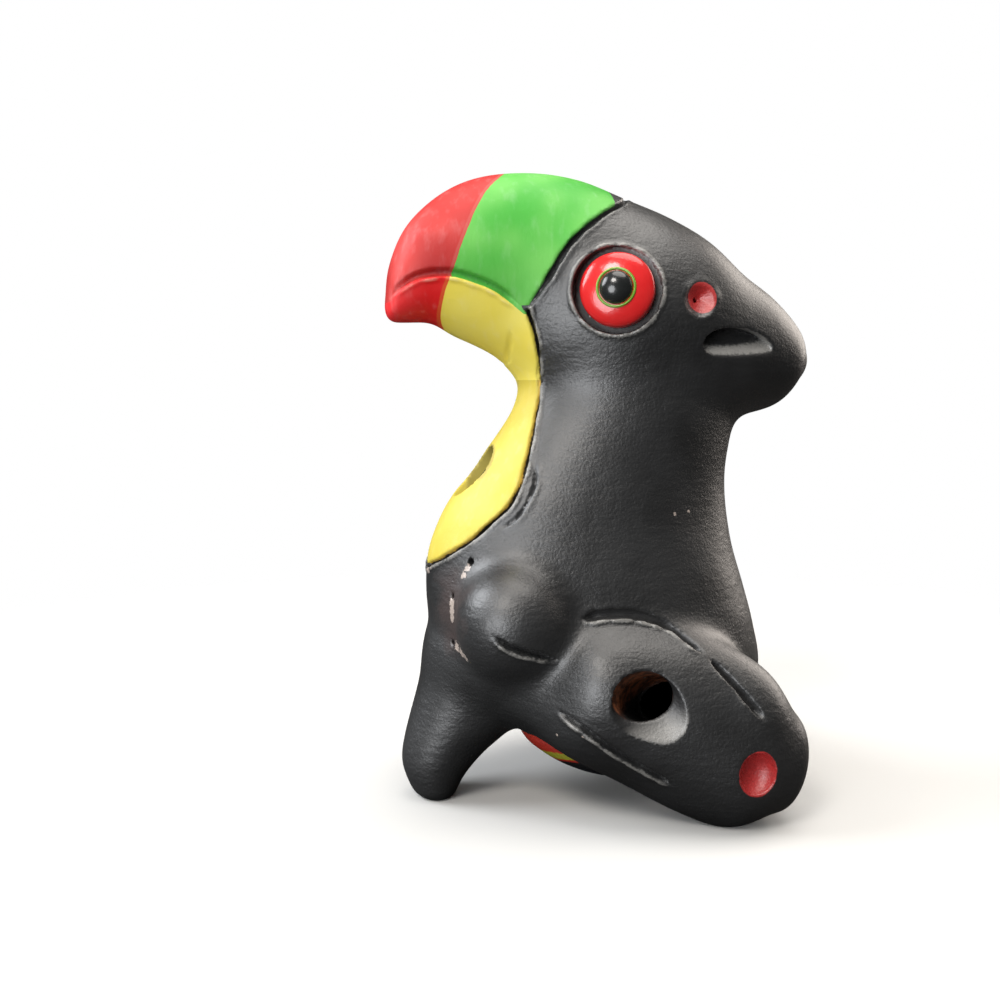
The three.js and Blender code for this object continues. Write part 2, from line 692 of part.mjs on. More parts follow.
const group = new THREE.Group();
group.add(pieceMesh('neck_shell', neckShell(), BLACK_SLIP));
group.add(pieceMesh('head_shell', headShell(), BLACK_SLIP));
group.add(pieceMesh('nape_snout', napeSnout(), BLACK_SLIP));
group.add(pieceMesh('upper_beak', upperBeak(), GREEN_PAINT));
group.add(pieceMesh('lower_beak', lowerBeak(), YELLOW_PAINT));
group.add(pieceMesh('throat_bib', throatBib(), YELLOW_PAINT));
group.add(pieceMesh('front_leg', frontLeg(), BLACK_SLIP));
group.add(pieceMesh('tail_mouthpiece', tailMouthpiece(), RED_PAINT));
for (const [side, word] of [[-1, 'left'], [1, 'right']]) {
  group.add(pieceMesh(`chamber_${word}`, chamberHalf(side), BLACK_SLIP));
  group.add(pieceMesh(`wing_${word}`, wingLimb(side), BLACK_SLIP));
  group.add(pieceMesh(`shoulder_knob_${word}`, shoulderKnob(side), BLACK_SLIP));
  group.add(eyePieces(side, word));
}

export default group;
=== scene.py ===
import itertools
import math

import bmesh
import bpy
import numpy as np
import openvdb as vdb
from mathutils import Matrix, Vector

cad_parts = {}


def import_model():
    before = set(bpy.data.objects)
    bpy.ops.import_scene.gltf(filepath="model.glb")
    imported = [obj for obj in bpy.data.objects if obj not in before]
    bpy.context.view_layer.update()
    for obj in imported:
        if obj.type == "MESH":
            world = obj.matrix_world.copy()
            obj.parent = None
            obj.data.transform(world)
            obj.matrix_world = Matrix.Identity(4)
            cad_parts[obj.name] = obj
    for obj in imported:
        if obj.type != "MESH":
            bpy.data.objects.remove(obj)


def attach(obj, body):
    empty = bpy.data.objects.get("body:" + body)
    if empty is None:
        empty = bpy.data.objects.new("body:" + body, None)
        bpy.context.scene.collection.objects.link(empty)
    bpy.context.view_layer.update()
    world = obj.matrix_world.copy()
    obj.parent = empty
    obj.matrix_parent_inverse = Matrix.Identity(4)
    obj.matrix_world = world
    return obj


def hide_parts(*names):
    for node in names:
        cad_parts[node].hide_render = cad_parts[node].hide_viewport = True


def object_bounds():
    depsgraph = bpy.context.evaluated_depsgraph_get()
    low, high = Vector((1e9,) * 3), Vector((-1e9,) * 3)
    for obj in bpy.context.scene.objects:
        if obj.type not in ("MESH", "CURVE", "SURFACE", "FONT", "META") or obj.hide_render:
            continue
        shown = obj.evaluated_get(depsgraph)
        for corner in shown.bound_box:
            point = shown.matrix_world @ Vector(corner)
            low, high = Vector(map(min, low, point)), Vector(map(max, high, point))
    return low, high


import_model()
cad_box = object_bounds()

# Trunk and neck
# Two bowls of clay luted edge to edge, with a neck set on top, so that the breath sounds in the
# hollow between them. Every other black lump is pressed onto this one while the clay is soft,
# and the joints are smoothed with a wet finger. Sizes are in millimetres.
MM = 0.001
# The clay is held as distances from its skin, as far as the band, on a grid of this step
VOXEL = 0.35
BAND = 5.0
MARGIN = 3.0
DOME_RINGS = 6
WALL = 4.5
FILLET = 3.0
BELLY = 12
NECK_SEAM = 56
HEAD_SEAM = 76
# Level rings: height, then the reach forward, backward and sideways
COLUMN = [
    (12, 13, 25, 14),
    (16, 24.5, 30, 19),
    (24, 32.6, 31.6, 22.5),
    (32, 32.8, 30.2, 22.5),
    (39, 33.4, 28.2, 21.2),
    (46, 33, 26, 19.8),
    (51.5, 31.2, 24.8, 18.6),
    (56, 28.8, 24.2, 17.8),
    (61, 25, 24.2, 17),
    (67, 20.4, 25, 16.4),
    (72, 17.2, 25.8, 16),
    (76, 15.6, 25.4, 15.6),
    (83, 12.5, 22.5, 14.6),
]
column_rings = [(-front, z, back, z, side, 0) for z, front, back, side in COLUMN]

grid_low = np.array(cad_box[0]) / MM - MARGIN
grid_high = np.array(cad_box[1]) / MM + MARGIN


def smooth_line(points, steps):
    """A smooth curve through the points, with that many steps from each to the next."""
    points = np.asarray(points, float)
    points = np.vstack([2 * points[0] - points[1], points, 2 * points[-1] - points[-2]])
    t = np.linspace(0, 1, steps, endpoint=False)[:, None]
    spans = [
        b + 0.5 * t * ((c - a) + t * ((2 * a - 5 * b + 4 * c - d) + t * (3 * b - a - 3 * c + d)))
        for a, b, c, d in zip(points, points[1:], points[2:], points[3:])
    ]
    return np.vstack([*spans, points[-2]])


def unit(way):
    """A way with a length of 1."""
    return np.asarray(way, float) / np.linalg.norm(way)


def loft(rings, start_dome=0, end_dome=0, grow=0, squareness=2, steps=10, sides=96):
    """The skin of a lump through rings of top x and z, bottom x and z, side reach and y."""
    line = smooth_line(rings, steps)
    side = line[:, 4] + grow
    top = line[:, [0, 5, 1]]
    bottom = line[:, [2, 5, 3]]
    centre = (top + bottom) / 2
    half = (top - bottom) / 2
    half *= 1 + grow / np.linalg.norm(half, axis=1, keepdims=True)
    turn = np.linspace(0, 2 * math.pi, sides, endpoint=False)
    up = np.sign(np.cos(turn)) * np.abs(np.cos(turn)) ** (2 / squareness)
    across = np.sign(np.sin(turn)) * np.abs(np.sin(turn)) ** (2 / squareness)

    def ring(index, scale, shift):
        points = centre[index] + shift + np.outer(up, half[index]) * scale
        points[:, 1] += across * side[index] * scale
        return points

    start = unit(centre[0] - centre[1])
    end = unit(centre[-1] - centre[-2])
    start_reach = start_dome + grow
    end_reach = end_dome + grow
    loops = [ring(index, 1, 0) for index in range(len(line))]
    for bow in np.linspace(0, math.pi / 2, DOME_RINGS, endpoint=False)[1:]:
        if start_dome:
            loops.insert(0, ring(0, math.cos(bow), start * start_reach * math.sin(bow)))
        if end_dome:
            loops.append(ring(-1, math.cos(bow), end * end_reach * math.sin(bow)))
    points = np.vstack([*loops, centre[0] + start * start_reach, centre[-1] + end * end_reach])
    here = np.arange(sides)
    there = (here + 1) % sides
    last = (len(loops) - 1) * sides
    quads = np.vstack([
        np.column_stack([here, there, there + sides, here + sides]) + first
        for first in range(0, last, sides)
    ])
    start_pole = np.full(sides, len(loops) * sides)
    fans = np.vstack([
        np.column_stack([start_pole, there, here]),
        np.column_stack([start_pole + 1, here + last, there + last]),
    ])
    return points, quads, fans


def lump_field(form, voxel=VOXEL):
    """How far each point of a grid lies outside a form, in mm, as far as the band."""
    points, quads, fans = form
    grid = vdb.FloatGrid.createLevelSetFromPolygons(
        (points - grid_low).astype(np.float32),
        triangles=fans.astype(np.uint32),
        quads=quads.astype(np.uint32),
        transform=vdb.createLinearTransform(voxel),
        halfWidth=BAND / voxel,
    )
    field = np.empty(np.ceil((grid_high - grid_low) / voxel).astype(int), np.float32)
    grid.copyToArray(field)
    return field


def joined(clay, lump, fillet=FILLET):
    """Two lumps pressed together, with the corner between them smoothed."""
    overlap = np.maximum(fillet - np.abs(clay - lump), 0)
    return np.minimum(clay, lump) - overlap * overlap / (4 * fillet)


def raised(rings, base, side=1):
    """Rings of top x and z, bottom x and z, side reach and y, moved up to their base."""
    return [(a, b + base, c, d + base, reach, side * out) for a, b, c, d, reach, out in rings]


clay = lump_field(loft(column_rings))

# Head, snout and beak
# One long lump of clay laid across the top of the neck and open to it inside: the toucan's
# arched beak in front, a crown in the middle and a second small face, a blunt snout, behind.
CREST = [
    (-40.4, 16.2, -39.2, 12.2, 4.6, 0),
    (-39.7, 22.6, -36.2, 12.2, 6.5, 0),
    (-36.6, 29.4, -32, 12, 7.8, 0),
    (-30.6, 35.1, -28.2, 9.8, 8.8, 0),
    (-23, 38.5, -24.4, 8.2, 9.7, 0),
    (-13.8, 39.6, -20, 6, 10.7, 0),
    (-5, 38.5, -17, 3.2, 12.4, 0),
    (3.7, 35.3, -13, 0, 15.4, 0),
    (11.5, 32.4, -5, -4, 17.6, 0),
    (19, 28.4, 8, -6, 17.2, 0),
    (26, 22.6, 20, -6, 14.8, 0),
    (32.5, 18.2, 28.4, -4.6, 12.2, 0),
    (37.8, 12.8, 34.2, -2.8, 9.4, 0),
    (39.8, 8.6, 38.2, 1.4, 5.2, 0),
]
BEAK_TIP_DOME = 0.9
SNOUT_TIP_DOME = 1.4
crest_rings = raised(CREST, HEAD_SEAM)
crest = lump_field(loft(crest_rings, BEAK_TIP_DOME, SNOUT_TIP_DOME))
clay = joined(clay, crest)

# Wings
# Two hollow limbs of the same clay, pressed onto the trunk and splayed outward and down. Their
# flat tips are the back feet.
WING = [
    (-14.5, 22.5, -20, 6.4, 9, 9.5),
    (-7, 25, -12.4, 0.6, 12.8, 15.6),
    (4.6, 24, -2, -5, 13, 18),
    (15.4, 20.6, 8, -10.4, 12, 20.4),
    (24, 15.2, 16.4, -12.9, 10.4, 22.8),
    (28.8, 7.6, 24.6, -10.6, 7.8, 23.6),
]
WING_TIP_DOME = 3.9
SIDES = {"left": -1, "right": 1}
for side in SIDES.values():
    wing = lump_field(loft(raised(WING, BELLY, side), end_dome=WING_TIP_DOME))
    clay = joined(clay, wing)

# Shoulder knobs
# A ball of the same clay pressed on in front of each wing, so far that only its outer part
# stands proud.
KNOB_RADIUS = 10.2
KNOB_PROUD = 7.4
KNOB_RISE = 35.8
KNOB_TURN = 53
KNOB_FILLET = 3.2
OUTSIDE = 60.0


def sampled(field, points):
    """The values of a field at points in mm."""
    spot = (np.asarray(points, float) - grid_low) / VOXEL
    spot = np.clip(spot, 0, np.array(field.shape) - 1.001)
    base = spot.astype(int)
    rest = spot - base
    total = np.zeros(spot.shape[:-1])
    for corner in itertools.product((0, 1), repeat=3):
        share = np.where(corner, rest, 1 - rest).prod(-1)
        total += share * field[tuple(np.moveaxis(base + corner, -1, 0))]
    return total


def pressed(points, way, step=0.25, reach=90):
    """Where points come to lie on the skin when they are pushed onto it along a way."""
    points = np.atleast_2d(points).astype(float)
    way = unit(way)
    travel = np.arange(0, reach, step)
    depth = sampled(clay, points[:, None] + travel[:, None] * way)
    first = np.maximum(np.argmax(depth < 0, axis=1), 1)
    row = np.arange(len(points))
    drop = depth[row, first - 1] - depth[row, first]
    met = travel[first] + step * depth[row, first] / np.maximum(drop, 0.01)
    passed = travel[depth.argmin(axis=1)]
    return points + np.where(depth.min(axis=1) < 0, met, passed)[:, None] * way


def from_side(points, side):
    """Points of x and z, pressed onto the bird from its left (-1) or right (1)."""
    points = np.atleast_2d(points)
    start = np.column_stack([points[:, 0], np.full(len(points), OUTSIDE * side), points[:, 1]])
    return pressed(start, (0, -side, 0))


def from_front(points):
    """Points of y and z, pressed onto the bird from in front."""
    points = np.atleast_2d(points)
    return pressed(np.column_stack([np.full(len(points), -OUTSIDE), points]), (1, 0, 0))


def outward(turn, lift, side):
    """The way out of the bird's side, turned that far forward and lifted, in degrees."""
    turn, lift = math.radians(turn), math.radians(lift)
    forward = -math.sin(turn) * math.cos(lift)
    return np.array([forward, side * math.cos(turn) * math.cos(lift), math.sin(lift)])


def near(points, reach):
    """The stretch of the grid round some points, and the places of its cells in mm."""
    points = np.atleast_2d(points)
    low = np.maximum((points.min(0) - reach - grid_low) / VOXEL, 0).astype(int)
    high = ((points.max(0) + reach - grid_low) / VOXEL).astype(int) + 2
    part = tuple(slice(a, b) for a, b in zip(low, np.minimum(high, clay.shape)))
    return part, np.stack(np.mgrid[part], -1) * VOXEL + grid_low


knob_centres = {}
for word, side in SIDES.items():
    way = outward(KNOB_TURN, 0, side)
    seat = pressed(np.array([0, 0, KNOB_RISE]) + OUTSIDE * way, -way)[0]
    knob_centres[word] = seat - way * (KNOB_RADIUS - KNOB_PROUD)
    part, cells = near(knob_centres[word], KNOB_RADIUS + BAND + FILLET)
    knob = np.linalg.norm(cells - knob_centres[word], axis=-1) - KNOB_RADIUS
    clay[part] = joined(clay[part], np.clip(knob, -BAND, BAND), KNOB_FILLET)

# Front leg
# One stub leg, a roll of the same clay smoothed on under the breast and cut flat where it
# stands.
LEG = [
    (-33, 19, -15, 11, 11, 0),
    (-35, 9.5, -17.4, 1.5, 10, 0),
    (-37.6, 0, -22.6, -3.6, 8.4, 0),
    (-38.3, -5.5, -26.2, -8, 6.9, 0),
    (-36.6, -10.6, -28.2, -11.9, 5.4, 0),
]
SOLE_DOME = 1.4
clay = joined(clay, lump_field(loft(raised(LEG, BELLY), end_dome=SOLE_DOME)))

# Tail mouthpiece
# A spout of the same clay, luted on under the belly between the wings. The windway, window and
# sharp edge are cut in it once it has stiffened.
TAIL = [
    (-12, 1, -15.5, -1.4, 7.5, 0),
    (-5, 2, -8.5, -6.2, 9.6, 0),
    (3, 2.6, 1, -9.4, 10.2, 0),
    (15, 3, 15, -9.4, 10.2, 0),
    (27, 1.6, 27, -8.8, 9.4, 0),
    (36, -0.6, 36, -7.8, 8.4, 0),
]
TAIL_SQUARENESS = 3
TAIL_FILLET = 1.2
HEEL_DOME = 1
tail_form = loft(raised(TAIL, BELLY), HEEL_DOME, squareness=TAIL_SQUARENESS)
clay = joined(clay, lump_field(tail_form), TAIL_FILLET)

# Smoothing
# Before the clay is marked, a wet finger takes off every edge and leaves the skin a little
# uneven.
SMOOTHING = (1, 2, 1, 2, 1, 2)
RUBBED_OFF = 0.04
UNEVEN = 0.035
UNEVEN_WAVES = (11, 14, 18, 23, 30, 40)
dice = np.random.default_rng(7)

for gap, axis in itertools.product(SMOOTHING, range(3)):
    along = np.moveaxis(clay, axis, 0)
    along[gap:-gap] = along[gap:-gap] / 2 + (along[:-2 * gap] + along[2 * gap:]) / 4
clay += RUBBED_OFF
for wave in UNEVEN_WAVES:
    way = unit(dice.normal(size=3)) * 2 * math.pi / wave
    turns = [
        np.exp(1j * np.arange(size) * VOXEL * step).astype(np.complex64)
        for size, step in zip(clay.shape, way)
    ]
    swing = turns[0][:, None, None] * turns[1][:, None] * turns[2]
    clay += UNEVEN * swing.real
grooves = np.zeros_like(clay)
burrs_and_highlights = np.zeros_like(clay)

# Tool marks
# Cut and pressed into the leather-hard clay: the grooves that part beak, bib and head, the
# lines round the wings, the eye sockets, the dimples and mouth of the snout, and the holes.
LINE_STEP = 0.2
LINE_RUN = 40
CURVE_STEPS = 6
GROOVE_END = 0.12
BURR_GAP = 0.35
BURR_WIDTH = 0.4
RIM_GAP = 0.3
FAR = 90.0
FACE_LINE = [(4.4, 112), (2.4, 110.1), (-3.6, 106.6), (-9.3, 101.7), (-13.7, 94.8), (-16.8, 89.9)]
MOUTH_LINE = [
    (-39.9, 92.4),
    (-38.4, 94.3),
    (-35.2, 96.1),
    (-29.9, 96.6),
    (-25, 95.3),
    (-21.3, 93.6),
    (-17, 90.2),
]
BIB_LINE = [
    (-9.9, 90),
    (-9.3, 85),
    (-8.1, 81.5),
    (-6.5, 78),
    (-6.9, 74.5),
    (-8.1, 70.9),
    (-10.8, 64.2),
    (-12.8, 57),
    (-12, 52.8),
    (-10.1, 49.1),
    (-5.7, 45.8),
    (0, 43.7),
]
CRACK = [(-12.2, 63.4), (-13.8, 59.2), (-14.4, 54.6), (-13.4, 51.6)]
CREASE = [(-7.6, 87), (-5.6, 84), (-2.6, 81.6), (0, 80.8)]
WING_LINE = [(-9.2, 37.1), (-6.1, 37.8), (-2.6, 37.9), (1, 37.4), (6.2, 35.3), (10.9, 31.5)]
WING_LINE_END = [(11.9, 30.5), (14.7, 27.4), (17.6, 23.8), (20, 20.8)]
BELLY_LINE = [(-14.2, 22), (-11, 20), (-4.4, 15.1), (2.6, 10.7), (5, 9.2)]
KNOB_LINE = [(-25.3, 35.3), (-23.3, 33.9), (-20.8, 32.7), (-18.2, 32), (-15.4, 31), (-13.4, 30.3)]
EYE_BACK = -2.1
EYE_RISE = 93.6
EYE_TURN = 23
EYE_LIFT = 6
EYE_SINK = 0.7
EYE_RADIUS = 6.5
EYE_GROOVE = 1.25
EYE_SEAT = 1.8
NOSTRIL = (13.4, 92.3)
NOSTRIL_RADIUS = 2.9
NOSTRIL_DEPTH = 2.2
NOSTRIL_PINHOLE = (-1.0, 0, -0.5)
NOSTRIL_PINHOLE_RADIUS = 0.45
SNOUT_MOUTH = (21.2, 84)
SNOUT_MOUTH_SIZE = (7.6, 3.2)
SNOUT_MOUTH_DEPTH = 3.8
SNOUT_MOUTH_TURN = 18
SNOUT_MOUTH_SLOPE = 5
FINGER_HOLE = (-0.3, 23.5)
FINGER_HOLE_RIM = 6.1
FINGER_HOLE_SIZE = (5.4, 4.3)
FINGER_HOLE_BEVEL = 2
FINGER_HOLE_SHIFT = (-0.45, 1.6)
FINGER_HOLE_LEAN = (0.8, -0.45)
FINGER_HOLE_DEPTH = 12
PAW_DIMPLE = (18.6, 11.6)
PAW_DIMPLE_SIZE = (3.25, 3, 3.9)
PAW_DIMPLE_TURN = -18
BIB_HOLE_RISE = 61.3
BIB_HOLE_TILT = 16
BIB_HOLE_SIZE = (4.7, 5.4)
PINHOLES = [(-27.1, 46.1, 0.65), (-30, 39.7, 0.45), (-30, 31.3, 0.45)]
PINHOLE_WAY = (0.8, 0.6, 0)
PINHOLE_START = -3


def side_line(line, side):
    """A smooth line of x and z, drawn on one side of the bird."""
    return from_side(smooth_line(line, CURVE_STEPS), side)


def front_line(line, side):
    """A smooth line of y and z, drawn on the bird's front, left or right of the middle."""
    return from_front(smooth_line([(-side * y, z) for y, z in line], CURVE_STEPS))


def evenly(line):
    """A line with its points a fixed step apart."""
    length = np.r_[0, np.cumsum(np.linalg.norm(np.diff(line, axis=0), axis=1))]
    marks = np.arange(0, length[-1], LINE_STEP)
    return np.column_stack([np.interp(marks, length, line[:, axis]) for axis in range(3)])


def wobble(along, wave):
    """An uneven value from -1 to 1 along a line, with bends about that far apart in mm."""
    waves = wave * dice.uniform(0.6, 1.7, 4)
    phases = dice.uniform(0, 2 * math.pi, 4)
    return sum(np.sin(2 * math.pi * along / w + p) for w, p in zip(waves, phases)) / 2.6


def score(line, width, depth, lip=0, toward=(0, 0, -1), ragged=0.15, fade=2.0):
    """Cut a groove along a line on the skin, with a burr of lip height thrown up beside it."""
    line = evenly(line)
    along = np.arange(len(line)) * LINE_STEP
    end = np.clip(np.minimum(along, along[-1] - along) / fade, GROOVE_END, 1) if fade else 1
    half = width / 2 * (1 + ragged * wobble(along, 5)) * np.sqrt(end)
    cut = depth * (1 + ragged * wobble(along, 7)) * end
    burr = lip * np.clip(0.8 + 0.4 * wobble(along, 4), 0, 1) * end
    reach = width / 2 + depth + lip + 2
    part, cells = near(line, reach)
    skin = clay[part]
    shift = np.zeros_like(skin)
    nearest = np.full(skin.shape, FAR, np.float32)
    index = np.zeros(skin.shape, int)
    for first in range(0, len(line), LINE_RUN):
        some = line[first:first + LINE_RUN]
        low = np.maximum(((some.min(0) - reach - cells[0, 0, 0]) / VOXEL).astype(int), 0)
        high = ((some.max(0) + reach - cells[0, 0, 0]) / VOXEL).astype(int) + 2
        box = tuple(slice(a, b) for a, b in zip(low, high))
        close = np.abs(skin[box]) < depth + lip + 1
        spots = cells[box][close]
        gaps = np.linalg.norm(spots[:, None] - some, axis=-1)
        best = gaps.argmin(1)
        gap = gaps[np.arange(len(spots)), best]
        better = gap < nearest[box][close]
        where = tuple(axis[better] for axis in np.nonzero(close))
        nearest[box][where] = gap[better]
        index[box][where] = best[better] + first
    close = nearest < reach
    spots = cells[close]
    which = index[close]
    across = np.sqrt(np.maximum(nearest[close] ** 2 - skin[close] ** 2, 0))
    across *= np.where((spots - line[which]) @ unit(toward) > 0, 1, -1)
    groove = np.clip(1 - (across / half[which]) ** 2, 0, 1)
    ridge = np.exp(-(((across - half[which] - BURR_GAP) / BURR_WIDTH) ** 2))
    shift[close] = cut[which] * groove - burr[which] * ridge
    clay[part] += shift
    grooves[part] = np.maximum(grooves[part], shift)
    burrs_and_highlights[part] = np.maximum(burrs_and_highlights[part], -shift)


def carve(centre, inside, reach, slip=FAR, wear_and_highlight=0.0):
    """Take clay away wherever a tool set at the centre reaches: inside gives how far.

    From the depth given as slip on, the cut is painted near-black as painted shade, and above that
    depth it gets a pale painted highlight of the share given last.
    """
    part, cells = near(centre, reach)
    depth = inside(cells - centre)
    sunk = np.where(depth > -1.5 * VOXEL, -clay[part], 0)
    # Past the slip depth the cut is marked for painted shade, and the band above it for a painted
    # highlight.
    grooves[part] = np.maximum(grooves[part], sunk - slip)
    highlight_band = np.clip(sunk / 0.5, 0, 1) * np.clip((slip - sunk) / 0.8, 0, 1)
    burrs_and_highlights[part] = np.maximum(burrs_and_highlights[part], wear_and_highlight * highlight_band)
    clay[part] = np.maximum(clay[part], depth)


def rim(centre, way, radius, height, width, ragged=0.5):
    """Raise a ragged burr round a hole."""
    part, cells = near(centre, radius + 3 * width + 1)
    offset = cells - centre
    rise = offset @ way
    out = offset - rise[..., None] * way
    level = unit(np.cross(way, (0, 0, 1)))
    angle = np.arctan2(out @ np.cross(level, way), out @ level)
    distance = np.linalg.norm(out, axis=-1)
    tall = height * np.clip(1 + ragged * wobble(angle * radius, 5), 0, 2)
    shape = np.exp(-(((distance - radius) / width) ** 2))
    burr = np.where(np.abs(rise) < 5, tall * shape, 0)
    clay[part] -= burr
    burrs_and_highlights[part] = np.maximum(burrs_and_highlights[part], burr)


def eye_socket(way):
    """A tool's depth function: a round hole with a flat floor."""
    def inside(offset):
        rise = offset @ way
        out = np.linalg.norm(offset - rise[..., None] * way, axis=-1)
        return np.minimum(rise + EYE_SEAT, EYE_RADIUS + EYE_GROOVE - out)
    return inside


def pit(way):
    """A tool's depth function: a cone pressed in by a blunt stick."""
    def inside(offset):
        out = np.hypot(offset[..., 0], offset[..., 2])
        return (NOSTRIL_RADIUS * (1 + offset @ way / NOSTRIL_DEPTH) - out) * 0.6
    return inside


def ellipsoid(ways, radii):
    """A tool's depth function: a ball stretched along three ways."""
    frame_rows = np.array(ways) / np.array(radii)[:, None]
    return lambda offset: (1 - np.linalg.norm(offset @ frame_rows.T, axis=-1)) * min(radii)


def bore(way, radius, tall=1.0, start=-9.0):
    """A tool's depth function: a hole along a way, tall times higher than wide."""
    level = unit(np.cross(way, (0, 0, 1)))
    upright = np.cross(level, way)

    def inside(offset):
        around = radius - np.hypot(offset @ level, offset @ upright / tall)
        return np.minimum(around, offset @ way - start)
    return inside


def finger_tool(side):
    """A tool's depth function: a slanting funnel that goes on inward as a leaning hole."""
    def inside(offset):
        depth = -offset[..., 1] * side
        share = np.clip(depth / FINGER_HOLE_BEVEL, -1, 1)
        lean = np.maximum(depth - FINGER_HOLE_BEVEL, 0)
        shift = [share * a + lean * b for a, b in zip(FINGER_HOLE_SHIFT, FINGER_HOLE_LEAN)]
        size = [FINGER_HOLE_RIM + (a - FINGER_HOLE_RIM) * share for a in FINGER_HOLE_SIZE]
        level = (offset[..., 0] - shift[0]) / size[0]
        upright = (offset[..., 2] - shift[1]) / size[1]
        around = (1 - np.hypot(level, upright)) * size[1]
        return np.minimum(around, FINGER_HOLE_DEPTH - depth)
    return inside


def scoop(along, up, out):
    """A tool's depth function: a gouge that starts deep under its upper edge at one end."""
    length, height = SNOUT_MOUTH_SIZE

    def inside(offset):
        run, rise, depth = offset @ along / length, offset @ up / height, offset @ out
        around = (1 - np.hypot(run, rise)) * height
        ground = SNOUT_MOUTH_DEPTH * (0.4 - 0.32 * run + 0.55 * rise)
        return np.minimum(around, depth + np.maximum(ground, 0))
    return inside


for side in SIDES.values():
    score(side_line(FACE_LINE, side), 1.1, 1.5, lip=0.2, toward=(1, 0, 0), fade=7)
    score(front_line(BIB_LINE, side), 0.9, 1.3, lip=0.4, toward=(1, side, -1), ragged=0.2, fade=0)
parting = grooves.copy()
eye_seats = {}
finger_seats = {}
dimple_seats = {}
for word, side in SIDES.items():
    score(side_line(MOUTH_LINE, side), 1.5, 0.9, lip=0.35, ragged=0.05, fade=4)
    score(front_line(CRACK, side), 0.7, 0.5, lip=0.2, toward=(1, side, -1), ragged=0.4)
    score(front_line(CREASE, side), 1.6, 0.4, fade=3)
    score(side_line(WING_LINE, side), 1.8, 2.2, lip=0.45, ragged=0.08)
    score(side_line(WING_LINE_END, side), 1.5, 2.0, lip=0.2, ragged=0.1)
    score(side_line(BELLY_LINE, side), 1.1, 1.0, lip=0.4)
    score(side_line(KNOB_LINE, side), 1.2, 1.5, lip=0.4, fade=3)

    way = outward(EYE_TURN, EYE_LIFT, side)
    seat = from_side([(EYE_BACK, EYE_RISE)], side)[0] - way * EYE_SINK
    eye_seats[word] = (seat, way)
    rim(seat, way, EYE_RADIUS + EYE_GROOVE + RIM_GAP, height=0.35, width=0.4)
    # The socket is painted near-black as painted shade.
    carve(seat, eye_socket(way), reach=14, slip=0)

    nostril = from_side([NOSTRIL], side)[0]
    level = np.array([0, side, 0])
    rim(nostril, level, NOSTRIL_RADIUS + RIM_GAP, height=0.13, width=0.5)
    carve(nostril, pit(level), reach=7)
    pinhole = bore(-level, NOSTRIL_PINHOLE_RADIUS)
    # The pinhole is painted near-black as painted shade.
    carve(nostril + NOSTRIL_PINHOLE, pinhole, reach=4, slip=0)
    mouth = from_side([SNOUT_MOUTH], side)[0]
    turn = math.radians(SNOUT_MOUTH_TURN)
    fall = math.sin(math.radians(SNOUT_MOUTH_SLOPE))
    along = unit((math.cos(turn), -side * math.sin(turn), -fall))
    out = unit(np.cross(along, (0, 0, -side)))
    gouge = scoop(along, np.cross(along, out) * side, out)
    # Past 2.2 mm deep the gouge is painted near-black as painted shade, and its shallower slope gets a
    # pale painted highlight.
    carve(mouth, gouge, reach=12, slip=2.2, wear_and_highlight=0.3)

    finger_seats[word] = from_side([FINGER_HOLE], side)[0]
    carve(finger_seats[word], finger_tool(side), reach=16)

    paw = from_side([PAW_DIMPLE], side)[0]
    paw_out = outward(PAW_DIMPLE_TURN, 0, side)
    paw_level = np.cross(paw_out, (0, 0, 1))
    paw_tool = ellipsoid((paw_level, paw_out, (0, 0, 1)), PAW_DIMPLE_SIZE)
    dimple_seats[word] = (paw, paw_tool)
    carve(paw, paw_tool, reach=9)

for x, z, radius in PINHOLES:
    spot = from_side([(x, z)], SIDES["left"])[0]
    pinhole = bore(unit(PINHOLE_WAY), radius, start=PINHOLE_START)
    # Each pinhole is painted near-black as painted shade.
    carve(spot, pinhole, reach=4, slip=0)
tilt = math.radians(BIB_HOLE_TILT)
bib_way = np.array([math.cos(tilt), 0, -math.sin(tilt)])
bib_seat = from_front([(0, BIB_HOLE_RISE)])[0]
bib_hole = bore(bib_way, BIB_HOLE_SIZE[0], BIB_HOLE_SIZE[1] / BIB_HOLE_SIZE[0])
carve(bib_seat, bib_hole, reach=14)

# Firing
# The hollow inside runs through trunk, neck, head and wings. The fired body is one skin, and
# each lump of it is then taken out as a piece of its own.
HOLLOW_VOXEL = 0.7
HEAD_HOLLOW_RINGS = slice(7, 11)
WING_HOLLOW_RINGS = slice(0, 4)


def skin_of(field, voxel=VOXEL):
    """Points in mm and four-sided faces of the surface where a field is zero."""
    edge = 3 * voxel
    grid = vdb.FloatGrid(edge)
    grid.transform = vdb.createLinearTransform(voxel)
    grid.copyFromArray(np.clip(field, -edge, edge), tolerance=1e-6)
    points, quads = grid.convertToQuads(0)
    return points + grid_low, quads[:, ::-1]


def placed(name, data):
    """An object of a mesh, lamp or camera, in the scene."""
    made = bpy.data.objects.new(name, data)
    bpy.context.scene.collection.objects.link(made)
    return made


def new_object(name, points, faces):
    """A mesh object from points in mm and faces with equal numbers of corners."""
    mesh = bpy.data.meshes.new(name)
    points = np.asarray(points, np.float32) * MM
    faces = np.asarray(faces, np.int32)
    mesh.vertices.add(len(points))
    mesh.vertices.foreach_set("co", points.ravel())
    mesh.loops.add(faces.size)
    mesh.loops.foreach_set("vertex_index", faces.ravel())
    mesh.polygons.add(len(faces))
    starts = np.arange(0, faces.size, faces.shape[1], dtype=np.int32)
    mesh.polygons.foreach_set("loop_start", starts)
    mesh.update(calc_edges=True)
    return placed(name, mesh)


def lump_object(form):
    """A closed mesh of a lofted form."""
    points, quads, fans = form
    triangles = np.vstack([quads[:, :3], quads[:, [0, 2, 3]], fans])
    return facing_out(new_object("tool", points, triangles))


